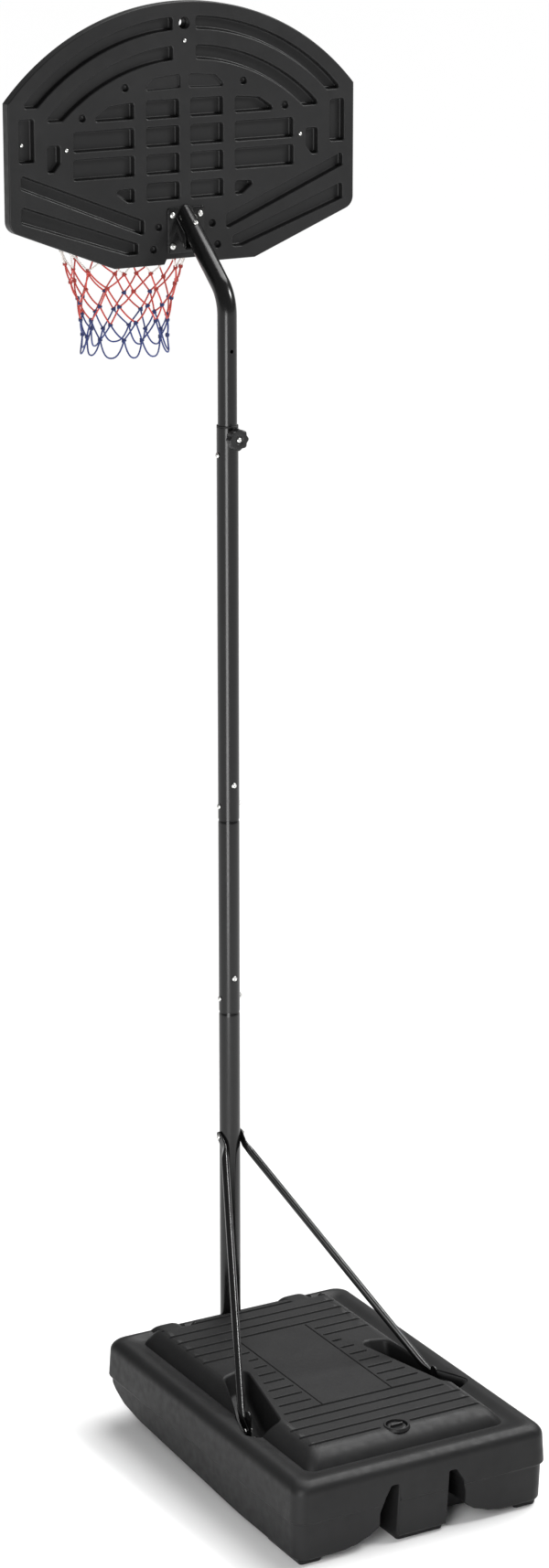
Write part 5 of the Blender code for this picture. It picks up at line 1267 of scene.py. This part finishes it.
def knob_loops(height):
    """The lobed knob from its near face, over the grip, to the dish in its far face."""
    stack = [(0.0100, 0.0), (0.0180, 0.0), (0.0238, 0.0003), (0.0252, 0.0012), (0.0259, 0.0028),
             (0.0260, 0.0050), (0.0260, 0.0150), (0.0258, 0.0172), (0.0250, 0.0188),
             (0.0236, 0.0198), (0.0190, 0.0200), (0.0118, 0.0200), (0.0106, 0.0196),
             (0.0098, 0.0186), (0.0095, 0.0182), (0.0060, 0.0180)]
    loops = []
    for radius, along in stack:
        ripple = 0.0016 * min(max((radius - 0.019) / 0.006, 0.0), 1.0)
        points = []
        for step in range(128):
            a = math.tau * step / 128
            reach = radius - ripple * (1 - math.cos(8 * a))
            points.append((reach * math.cos(a), KNOB_FACE + along, height + reach * math.sin(a)))
        loops.append(points)
    return loops


class StandClamp(bpy.types.Operator):
    """Welded nut, lobed knob with its screw and insert, and the guide bush in the pole's mouth"""

    bl_idname = "stand.clamp"
    bl_label = "Height clamp"

    def execute(self, context):
        s = settings("pole")
        height = s.top - 0.022
        at_face = placed((0, 0, height), "Y")
        nut = [
            (0.0043, 0.0150), (0.0085, 0.0150), (0.0085, 0.0345), (0.0080, 0.0354),
            (0.0050, 0.0354), (0.0043, 0.0347),
        ]
        bead = [(0.0078, 0.0200), (0.0112, 0.0200), (0.0110, 0.0258), (0.0100, 0.0270),
                (0.0084, 0.0276)]
        pole = rod((0, 0, height), "Z", s.radius + GAP, 0.1, 96)
        steps = [(spun(bead, 48, at_face), "UNION"), (pole, "DIFFERENCE")]
        show("clamp_nut", carve(spun(nut, 48, at_face), *steps), "black_paint")
        bore = rod((0, KNOB_FACE, height), "Y", 0.0043, 0.0286, 32)
        show("height_knob", cut(loft(knob_loops(height)), bore), "black_plastic", 40.0)
        start, end = s.top_radius + 0.0004, 0.0514
        profile = [(0.0, end), (0.0040, end)]
        for turn in range(int((end - start - 0.002) / PITCH)):
            low = end - 0.0010 - PITCH * turn
            profile += [(0.0040, low), (0.0040, low - 0.0003), (0.0034, low - 0.0008)]
        profile += [(0.0030, start), (0.0, start)]
        show("knob_screw", spun(profile, 28, at_face), "zinc")
        dome = [(0.0, 0.0036), (0.0018, 0.0036), (0.0032, 0.0034), (0.0048, 0.0028),
                (0.0057, 0.0019), (0.0060, 0.0008), (0.0059, 0.0), (0.0, 0.0)]
        spot = (0, 0.0557, height)
        socket = rod((0, 0.0593, height), "Y", 0.0022, 0.0036, 6)
        show("knob_insert", cut(spun(dome, 40, placed(spot, "Y")), socket), "zinc")
        outer, inner = s.radius - s.wall - GAP, s.top_radius + 0.0004
        seat = s.top + GAP
        collar = [(outer, seat - 0.0702), (outer, seat), (s.radius - 0.0003, seat),
                  (s.radius, seat + 0.0003), (s.radius, seat + 0.0028),
                  (s.radius - 0.0004, seat + 0.0036), (s.radius - 0.0012, seat + 0.0040),
                  (inner + 0.0006, seat + 0.0040), (inner, seat + 0.0034), (inner, seat - 0.0702)]
        holes = [
            rod((0, s.radius, height), "Y", LARGE_HOLE, 0.03, 24),
            rod((s.radius, 0, s.top - BUSH_SCREW_DROP), "X", SMALL_HOLE, 0.03, 24),
        ]
        show("guide_bush", cut(spun(collar, 72), *holes), "black_plastic")
        return {"FINISHED"}


# Head: top tube, arm bracket and backboard

ARM_SLOPE = math.radians(39)
ARM = Vector((0, -math.cos(ARM_SLOPE), math.sin(ARM_SLOPE)))
ARM_NORMAL = Vector((0, math.sin(ARM_SLOPE), math.cos(ARM_SLOPE)))
ARM_CORNER = Vector((0, 0, 2.723))
ARM_BOLT_BACK = 0.034
HEIGHT_HOLES = (2.2, 2.4, 2.6)
BOARD_BACK = -0.198
BOARD_FOOT = 2.773
SCREWS = (
    ("top", 0.0, 0.852, 0.0), ("left", 0.678, 0.467, 0.0), ("right", -0.678, 0.467, 0.0),
    ("side", 0.912, 0.494, 0.016),
)


def arm_point(distance):
    """The point of the arm's centre line this far behind the board's back."""
    return ARM_CORNER + ARM * ((-BOARD_BACK - distance) / math.cos(ARM_SLOPE))


def arm_route(foot, reach):
    """Centre line of the top tube: straight up, one bend, then along the arm."""
    turn = math.pi / 2 - ARM_SLOPE
    bend = 0.090
    start = ARM_CORNER.z - bend * math.tan(turn / 2)
    route = [(0, 0, foot)]
    for step in range(25):
        a = turn * step / 24
        route.append((0, -bend * (1 - math.cos(a)), start + bend * math.sin(a)))
    route.append(tuple(ARM_CORNER + ARM * reach))
    return route


def plate_outline():
    """Outline in (x, z) of the two plates that clamp the board between arm and rim."""
    half, low, high = 0.048, 2.798, 2.904
    return soften([(-half, low), (half, low), (half, high), (-half, high)], 0.006, 5)


class StandArm(bpy.types.Operator):
    """Sliding top tube with its height holes, bent into the arm, and the arm's bracket"""

    bl_idname = "stand.arm"
    bl_label = "Arm"

    def execute(self, context):
        s = settings("pole")
        tube = sweep(arm_route(2.130, 0.290), s.top_radius, 64)
        bore = sweep(arm_route(2.120, 0.300), s.top_radius - s.wall, 48)
        tools = [bore, box((-0.05, -0.40, 2.70), (0.05, BOARD_BACK + PLATE_FACE, 3.1))]
        for z in HEIGHT_HOLES:
            tools.append(rod((0, s.top_radius, z), "Y", LARGE_HOLE, s.top_radius, 28))
        tools.append(rod(arm_point(ARM_BOLT_BACK), ARM_NORMAL, SMALL_HOLE, 0.1, 20))
        show("top_tube", cut(tube, *tools), "black_paint", 40.0)
        back = BOARD_BACK + GAP
        bracket = prism(plate_outline(), "Y", back, back + SHEET, 0.0010, 3)
        inner, outer = s.top_radius + 2 * GAP, s.top_radius + 2 * GAP + SHEET
        below = arm_point(0.0) - ARM_NORMAL * inner
        slope, drop = math.tan(ARM_SLOPE), SHEET / math.cos(ARM_SLOPE)

        def floor_z(y):
            return below.z + (below.y - y) * slope

        front, rear = back + 0.0015, back + 0.046
        cheek = [(front, floor_z(front) - drop), (rear, floor_z(rear) - drop),
                 (rear, floor_z(rear) + 0.030), (front, floor_z(front) + 0.030)]
        cheek = soften(cheek, [0, 0.004, 0.010, 0], 4)
        steps = []
        for side in (1, -1):
            plate = prism(cheek, "X", *sorted((side * inner, side * outer)), 0.0005)
            steps.append((plate, "UNION"))
        end = rear - 0.0004
        floor = [(front, floor_z(front) - drop), (end, floor_z(end) - drop), (end, floor_z(end)),
                 (front, floor_z(front))]
        steps.append((prism(floor, "X", -inner - 0.0015, inner + 0.0015), "UNION"))
        show("arm_bracket", carve(bracket, *steps), "black_paint")
        return {"FINISHED"}


# Recesses on the +X half of the board's back: corners in shares of the half width and the height
CELLS = [
    [(0.033, low), (0.222, low), (0.222, high), (0.033, high)]
    for low, high in ((0.563, 0.633), (0.457, 0.532), (0.352, 0.427), (0.250, 0.317))
] + [
    [(0.293, 0.567), (0.542, 0.567), (0.436, 0.620), (0.293, 0.630)],
    [(0.293, 0.457), (0.636, 0.457), (0.636, 0.533), (0.293, 0.533)],
    [(0.293, 0.350), (0.638, 0.350), (0.638, 0.428), (0.293, 0.428)],
    [(0.293, 0.250), (0.333, 0.253), (0.418, 0.300), (0.293, 0.303)],
    [(0.858, 0.430), (0.942, 0.430), (0.942, 0.593), (0.858, 0.593)],
    [(0.713, 0.420), (0.749, 0.387), (0.784, 0.387), (0.784, 0.487), (0.713, 0.487)],
    [(0.240, 0.120), (0.933, 0.333), (0.933, 0.385), (0.240, 0.177)],
    [(0.276, 0.050), (0.333, 0.050), (0.933, 0.203), (0.933, 0.267), (0.276, 0.090)],
]
CROWN_CELL = [(0.024, 0.675), (0.244, 0.670), (0.178, 0.717), (0.024, 0.727)]
DIMPLES = [(0.342, 0.687), (0.587, 0.583), (0.156, 0.147), (0.187, 0.063)]
ARCH_CHANNELS = ((0.033, 0.062, 0.633), (0.098, 0.130, 0.577))
SPINE_HALF = 0.030
# The printed target square: its outer sides in x and z, and its line's width
TARGET = (-0.150, 0.150, 2.905, 3.115, 0.012)


def arch_circle(s):
    """Height of the arched top's centre above the board's foot, and its radius."""
    rise = s.height - 0.653 * s.height
    radius = ((s.width / 2) ** 2 + rise ** 2) / (2 * rise)
    return s.height - radius, radius


def board_outline(s):
    """Outline in (x, height): arched top, straight sides and tapered foot with a notch."""
    half, side_foot, flat = s.width / 2, 0.175 * s.height, 0.409 * s.width / 2
    centre, radius = arch_circle(s)
    reach = math.degrees(math.asin(half / radius))
    points = arc((0.0, centre), radius, 90 - reach, 90 + reach, 72)
    foot = [(-half, side_foot), (-flat, 0.0), (-0.055, 0.0), (-0.049, 0.012),
            (0.049, 0.012), (0.055, 0.0), (flat, 0.0), (half, side_foot)]
    rounding = [0.0] * len(points) + [0.030, 0.008, 0.003, 0.003, 0.003, 0.003, 0.008, 0.030]
    outline = soften(points + foot, rounding, 8)
    return [(x, BOARD_FOOT + z) for x, z in outline]


def arch_channel(s, outer_inset, inner_inset, foot):
    """A curved channel on the +X side, parallel to the board's top, with long end segments."""
    centre, radius = arch_circle(s)
    points = []
    for inset, backwards in ((outer_inset, False), (inner_inset, True)):
        ring = radius - inset
        start = math.degrees(math.asin((foot - centre) / ring))
        end = math.degrees(math.acos(SPINE_HALF / ring))
        run = []
        for low, high, steps in ((start, start, 0), (start + 4, end - 4, 18), (end, end, 0)):
            run += arc((0.0, centre), ring, low, high, steps)
        points += run[::-1] if backwards else run
    return points


def add_recess(bm, outline, depth, lip, draft):
    """One moulded cell cut from the board's back: flared lip, drafted wall and rounded floor."""
    fillet = min(0.0042, 0.4 * depth)
    stack = [(lip + 0.0005, 0.003)]
    stack += [(lip * (1 - math.sin(a)), -lip * (1 - math.cos(a))) for a in quarter(4, 8)]
    for a in quarter(4):
        stack.append((-draft - fillet * (1 - math.cos(a)), -depth + fillet * (1 - math.sin(a))))
    moves = outward(outline)
    loops = []
    for out, along in stack:
        loops.append([
            (x + move.x * out, BOARD_BACK + along, z + move.y * out)
            for (x, z), move in zip(outline, moves)
        ])
    loft(loops, bm)


def board_recesses(s):
    bm = bmesh.new()
    cells = []
    for outer, inner, foot in ARCH_CHANNELS:
        cells.append((arch_channel(s, outer, inner, foot * s.height), s.recess))
    half = s.width / 2
    cells += [([(x * half, z * s.height) for x, z in cell], s.recess) for cell in CELLS]
    cells.append(([(x * half, z * s.height) for x, z in CROWN_CELL], 0.35 * s.recess))
    for side in (1, -1):
        for outline, depth in cells:
            placed_cell = soften([(side * x, BOARD_FOOT + z) for x, z in outline], 0.0060, 4)
            add_recess(bm, placed_cell, depth, min(s.lip, 0.4 * depth), 0.0010)
        for x, z in DIMPLES:
            circle = arc((side * x * half, BOARD_FOOT + z * s.height), 0.0090, 0, 345, 23)
            add_recess(bm, circle, 0.010, 0.0016, 0.0012)
    return bm


def print_lines(bm, s):
    """Mark the printed target square on the board's flat front."""
    plane = BOARD_BACK - s.thickness
    low_x, high_x, low_z, high_z, line = TARGET
    cuts = [(x, "X") for x in (low_x, low_x + line, high_x - line, high_x)]
    cuts += [(z, "Z") for z in (low_z, low_z + line, high_z - line, high_z)]
    for value, axis in cuts:
        fronts = [face for face in bm.faces
                  if abs(face.calc_center_median().y - plane) < 1e-5 and abs(face.normal.y) > 0.99]
        verts = list({vert for face in fronts for vert in face.verts})
        edges = list({edge for face in fronts for edge in face.edges})
        where, normal = ((value, 0, 0), (1, 0, 0)) if axis == "X" else ((0, 0, value), (0, 0, 1))
        bmesh.ops.bisect_plane(
            bm, geom=verts + edges + fronts, dist=1e-6, plane_co=where, plane_no=normal
        )
    for face in bm.faces:
        spot = face.calc_center_median()
        if abs(spot.y - plane) > 1e-5 or not (low_x < spot.x < high_x and low_z < spot.z < high_z):
            continue
        if not (low_x + line < spot.x < high_x - line and low_z + line < spot.z < high_z - line):
            face.material_index = 1


class StandBoard(bpy.types.Operator):
    """Moulded backboard: printed flat front, and a back of cells, channels and dimples"""

    bl_idname = "stand.board"
    bl_label = "Backboard"

    def execute(self, context):
        s = settings("board")
        front = BOARD_BACK - s.thickness
        board = prism(board_outline(s), "Y", front, BOARD_BACK, 0.007, 5)
        holes = [rod((x, front, z), "Y", LARGE_HOLE, 0.1, 24) for x, z in PLATE_BOLTS]
        narrow, wide = 0.0078, 0.013
        hang = [
            (0.0, -0.01), (narrow, -0.01), (narrow, 0.005), (wide, 0.0075),
            (wide, s.thickness - 0.003), (0.0134, s.thickness - 0.0012),
            (0.0150, s.thickness + 0.0002), (0.0155, s.thickness + 0.004),
            (0.0, s.thickness + 0.004),
        ]
        spot = (0, front, BOARD_FOOT + 0.918 * s.height)
        board = cut(board, board_recesses(s), spun(hang, 40, placed(spot, "Y")), *holes)
        print_lines(board, s)
        finishes = ["board_plastic", "printed_lines"]
        show("backboard", board, finishes, 38.0, even=True)
        return {"FINISHED"}


# Rim and net

HOOKS = 12
HOOK_DROP = 0.017
HOOK_WIRE = 0.0020
RIM_REACH = 0.286


def rim_point(angle, radius, height):
    """A point round the rim; angle 0 is at the board side."""
    centre = BOARD_BACK - settings("board").thickness - RIM_REACH
    return Vector((radius * math.sin(angle), centre + radius * math.cos(angle), height))


def hook_path(angle, s):
    """A net hook: a wire loop that hangs under the ring."""
    inner, outer, turn = s.radius - 0.0052, s.radius + 0.0052, 0.003
    top, low = s.height - 0.002, s.height - HOOK_DROP
    bends = [(turn * (1 - math.cos(a)), turn * (1 - math.sin(a))) for a in quarter(3)]
    route = [(inner, top), (inner, low + turn)]
    route += [(inner + across, low + up) for across, up in bends[1:]]
    route += [(outer - up, low + across) for across, up in bends]
    return [rim_point(angle, *spot) for spot in route + [(outer, top)]]


class StandRim(bpy.types.Operator):
    """Steel ring with its net hooks, its welded bracket and two braces"""

    bl_idname = "stand.rim"
    bl_label = "Rim"

    def execute(self, context):
        s = settings("rim")
        centre = rim_point(0, 0, s.height)
        ring = spun(arc((s.radius, 0.0), s.rod, 0, 337.5, 15), 128, Matrix.Translation(centre))
        for index in range(HOOKS):
            sweep(hook_path(math.tau * (index + 0.5) / HOOKS, s), HOOK_WIRE, 10, ring)
        show("rim_ring", ring, "rim_paint", 40.0)
        front = BOARD_BACK - settings("board").thickness - GAP
        bracket = prism(plate_outline(), "Y", front - SHEET, front, 0.0006)
        web_top = s.height - s.rod - GAP
        inside, end = front - 0.0015, centre.y + s.radius - 0.002
        web = [(-0.024, inside), (0.024, inside), (0.024, inside - 0.030), (0.040, end),
               (-0.040, end), (-0.024, inside - 0.030)]
        web = soften(web, [0, 0, 0.02, 0.006, 0.006, 0.02], 4)
        steps = [(prism(web, "Z", web_top - SHEET, web_top, 0.0005), "UNION")]
        gusset = [(inside, web_top - 0.0015), (inside, 2.822), (end + 0.03, web_top - 0.0015)]
        for side in (-1, 1):
            steps.append((prism(gusset, "X", *sorted((side * 0.021, side * 0.0235))), "UNION"))
        show("rim_bracket", carve(bracket, *steps), "rim_paint")
        face, foot = front - SHEET - GAP, 2.805
        for side, _, word in SIDES:
            start = Vector((side * 0.018, face, foot))
            knee = Vector((side * 0.018, face - 0.012, foot))
            height = s.height - s.rod - 0.004 - 2 * GAP
            far = rim_point(side * math.radians(32), s.radius + 0.004, height)
            first, last = knee + Vector((0, 0.006, 0)), knee + (far - knee).normalized() * 0.006
            path = [start, first]
            for share in [step / 6 for step in range(1, 6)]:
                rest = 1 - share
                path.append(rest ** 2 * first + 2 * share * rest * knee + share ** 2 * last)
            path += [last, far]
            show(f"rim_brace_{word}", sweep(path, 0.004, 20), "rim_paint", 40.0)
        return {"FINISHED"}


# Rows of meshes, the level at which each colour of cord ends, the level from which the knots are
# blue, a knot's size, and the length of cord that the map's unit stands for
NET_ROWS = 8
NET_COLOURS = ((3, "cord_white"), (6, "cord_red"), (9, "cord_blue"))
BLUE_KNOTS = 5
KNOT_SIZE = 0.0042
MAP_LENGTH = 0.004


def knot_at(s, level, index):
    """Where one knot of the net hangs; the rows are shifted by half a mesh in turn."""
    share = level / NET_ROWS
    radius = s.foot_radius + (settings("rim").radius - s.foot_radius) * (1 - share) ** 1.8
    top = settings("rim").height - HOOK_DROP + HOOK_WIRE + s.cord / 2 + 0.0008
    turn = math.tau * (index + (1.0 if level % 2 else 0.5)) / HOOKS
    if level:
        turn += math.radians(3.6) * math.sin(index * 2.4 + level * 1.7)
        radius += 0.0035 * math.sin(index * 1.9 + level * 2.3)
    height = top - s.drop * share ** 0.95
    if 0 < level < NET_ROWS:
        height += 0.0030 * math.sin(index * 2.9 + level * 1.3)
    return rim_point(turn, radius, height)


def cord_along(path, radius, finish):
    """One cord of the net, with a map that runs along it."""
    bm = bmesh.new()
    along = bm.loops.layers.uv.new("along")
    sweep(path, radius, 8, bm)
    runs = [0.0]
    for first, second in zip(path, path[1:]):
        runs.append(runs[-1] + (second - first).length)
    for face in bm.faces:
        face.material_index = finish
        for loop in face.loops:
            spot = loop.vert.co
            nearest = min(range(len(path)), key=lambda index: (path[index] - spot).length)
            ahead = (path[min(nearest + 1, len(path) - 1)] - path[max(nearest - 1, 0)]).normalized()
            side = ahead.cross(UP).normalized()
            out = spot - path[nearest]
            turn = math.atan2(out.dot(ahead.cross(side)), out.dot(side))
            loop[along].uv = (runs[nearest] / MAP_LENGTH, turn / math.tau * 2)
    return bm


def knot(spot, outwards, size, finish):
    """A knot: three fat turns of cord round each other."""
    bm = bmesh.new()
    bm.loops.layers.uv.new("along")
    side = outwards.cross(UP).normalized()
    for tilt, high in ((35, 0.35), (-35, -0.35), (0, 0.0)):
        path = []
        for step in range(8):
            a = math.tau * step / 8
            flat = side * math.cos(a) * 0.9 + outwards * math.sin(a) * 0.75
            lift = UP * (math.cos(a) * math.sin(math.radians(tilt)) * 0.8 + high)
            path.append(spot + (flat + lift) * size)
        sweep(path + [path[0]], size * 0.62, 6, bm)
    for face in bm.faces:
        face.material_index = finish
    return bm


class StandNet(bpy.types.Operator):
    """Knotted net of twisted cord, white at the top, red in the middle and blue at the foot"""

    bl_idname = "stand.net"
    bl_label = "Net"

    def execute(self, context):
        s = settings("net")
        names = [name for _, name in NET_COLOURS]

        def finish_of(level):
            return next(index for index, (end, _) in enumerate(NET_COLOURS) if level < end)

        rows = [
            [knot_at(s, level, index) for index in range(HOOKS)] for level in range(NET_ROWS + 1)
        ]
        axis = rim_point(0, 0, 0)
        radius = s.cord * 0.56 * 0.92
        parts = []

        def out_at(spot):
            return Vector((spot.x - axis.x, spot.y - axis.y, 0)).normalized()

        def hang(first, last, finish, sag):
            path = []
            fall = UP * sag * (1 + math.sin(len(parts) * 1.9))
            for step in range(7):
                share = step / 6
                bow = math.sin(math.pi * share)
                spot = first.lerp(last, share)
                path.append(spot + out_at(spot) * 0.0020 * bow - fall * bow)
            parts.append(cord_along(path, radius, finish))

        for level in range(NET_ROWS - 1):
            finish = finish_of(level)
            for index in range(HOOKS):
                right = index if level % 2 == 0 else (index + 1) % HOOKS
                left = (index - 1) % HOOKS if level % 2 == 0 else index
                for other in (left, right):
                    hang(rows[level][index], rows[level + 1][other], finish, 0.002)
        for level in range(1, NET_ROWS):
            for index in range(HOOKS):
                spot = rows[level][index]
                finish = finish_of(level) if level < BLUE_KNOTS else finish_of(NET_ROWS)
                parts.append(knot(spot, out_at(spot), KNOT_SIZE, finish))
        last = NET_ROWS - 1
        foot = rows[NET_ROWS][0].z
        for index in range(HOOKS):
            first, follow = rows[last][index], rows[last][(index + 1) % HOOKS]
            path = []
            for step in range(13):
                share = step / 12
                spot = first.lerp(follow, share)
                drop = (first.z - foot) * (1 - abs(2 * share - 1) ** 2.4)
                path.append(spot + out_at(spot) * 0.010 * math.sin(math.pi * share) - UP * drop)
            parts.append(cord_along(path, radius, finish_of(NET_ROWS)))
        show("net", join(*parts), names, 60.0)
        return {"FINISHED"}


# Stage: the floor's half side, and the camera's place behind the pole's axis and its way of looking

FLOOR_HALF = 200.0
CAMERA_SPOT = Vector((4.3590, 7.95575, 4.2556))
CAMERA_HEADING = 0.5132
CAMERA_PITCH = 0.2887


class StandStage(bpy.types.Operator):
    """Pale floor, soft studio light and the camera"""

    bl_idname = "stand.stage"
    bl_label = "Stage"

    def execute(self, context):
        s = settings("stage")
        bm = bmesh.new()
        bmesh.ops.create_grid(bm, x_segments=1, y_segments=1, size=FLOOR_HALF)
        mesh = bpy.data.meshes.new("floor")
        bm.to_mesh(mesh)
        bm.free()
        floor = bpy.data.objects.new("floor", mesh)
        bpy.context.scene.collection.objects.link(floor)
        material, _, shader = new_finish("floor", 0.9, specular=0.1)
        shader.inputs["Base Color"].default_value = (*s.floor, 1)
        mesh.materials.append(material)
        world = bpy.data.worlds.new("studio")
        world.use_nodes = True
        background = world.node_tree.nodes["Background"]
        background.inputs["Color"].default_value = (1, 1, 1, 1)
        background.inputs["Strength"].default_value = s.air
        bpy.context.scene.world = world
        bpy.context.scene.view_settings.view_transform = "Standard"
        sky = bpy.data.lights.new("overhead_light", "SUN")
        sky.energy = s.sky
        sky.angle = math.radians(50)
        side = bpy.data.lights.new("side_light", "AREA")
        side.size = 1.1
        side.energy = s.side
        strip = bpy.data.lights.new("strip_light", "AREA")
        strip.shape = "RECTANGLE"
        strip.size, strip.size_y = 1.3, 2.6
        strip.energy = s.strip
        lights = (
            (sky, (-2.6, -1.2, 6.0), (0.0, 0.2, 1.2)),
            (side, (-3.4, 2.4, 5.4), (0.0, -0.2, 2.9)),
            (strip, (2.0, 2.5, 1.35), (0.0, 0.0, 1.30)),
        )
        for data, place, target in lights:
            light = bpy.data.objects.new(data.name, data)
            light.location = (place[0], place[1] + POLE_Y, place[2])
            aim = Vector(target) - Vector(place)
            light.rotation_euler = aim.to_track_quat("-Z", "Y").to_euler()
            bpy.context.scene.collection.objects.link(light)
        camera_data = bpy.data.cameras.new("camera")
        camera_data.sensor_fit = "VERTICAL"
        camera_data.sensor_height = 36.0
        camera_data.lens = s.lens
        camera_data.clip_end = 200.0
        camera = bpy.data.objects.new("camera", camera_data)
        camera.location = CAMERA_SPOT + Vector((0, POLE_Y, 0))
        level = math.cos(CAMERA_PITCH)
        ahead = Vector((
            -math.sin(CAMERA_HEADING) * level, -math.cos(CAMERA_HEADING) * level,
            -math.sin(CAMERA_PITCH),
        ))
        camera.rotation_euler = ahead.to_track_quat("-Z", "Y").to_euler()
        bpy.context.scene.collection.objects.link(camera)
        bpy.context.scene.camera = camera
        return {"FINISHED"}


SETTINGS = {
    "tank": StandTankSettings, "cap": StandCapSettings, "pole": StandPoleSettings,
    "board": StandBoardSettings, "rim": StandRimSettings, "net": StandNetSettings,
    "stage": StandStageSettings,
}
OPERATORS = [
    StandTank, StandCap, StandWheels, StandPoles, StandStruts, StandClamp, StandArm, StandBoard,
    StandRim, StandNet, StandFasteners, StandStage,
]


class StandPanel(bpy.types.Panel):
    bl_idname = "VIEW3D_PT_stand"
    bl_label = "Basketball stand"
    bl_space_type = "VIEW_3D"
    bl_region_type = "UI"
    bl_category = "Stand"

    def draw(self, context):
        for operator in OPERATORS:
            self.layout.operator(operator.bl_idname)
        for name, group in SETTINGS.items():
            column = self.layout.column()
            column.label(text=name.title())
            for key in group.__annotations__:
                column.prop(settings(name), key)


def register():
    for group in SETTINGS.values():
        bpy.utils.register_class(group)
    for item in (*OPERATORS, StandPanel):
        bpy.utils.register_class(item)
    for name, group in SETTINGS.items():
        setattr(bpy.types.Scene, "stand_" + name, bpy.props.PointerProperty(type=group))


def unregister():
    for name in SETTINGS:
        delattr(bpy.types.Scene, "stand_" + name)
    for item in (StandPanel, *reversed(OPERATORS), *reversed(SETTINGS.values())):
        bpy.utils.unregister_class(item)


def main():
    register()
    for operator in OPERATORS:
        group, name = operator.bl_idname.split(".")
        getattr(getattr(bpy.ops, group), name)()


if __name__ == "__main__":
    main()
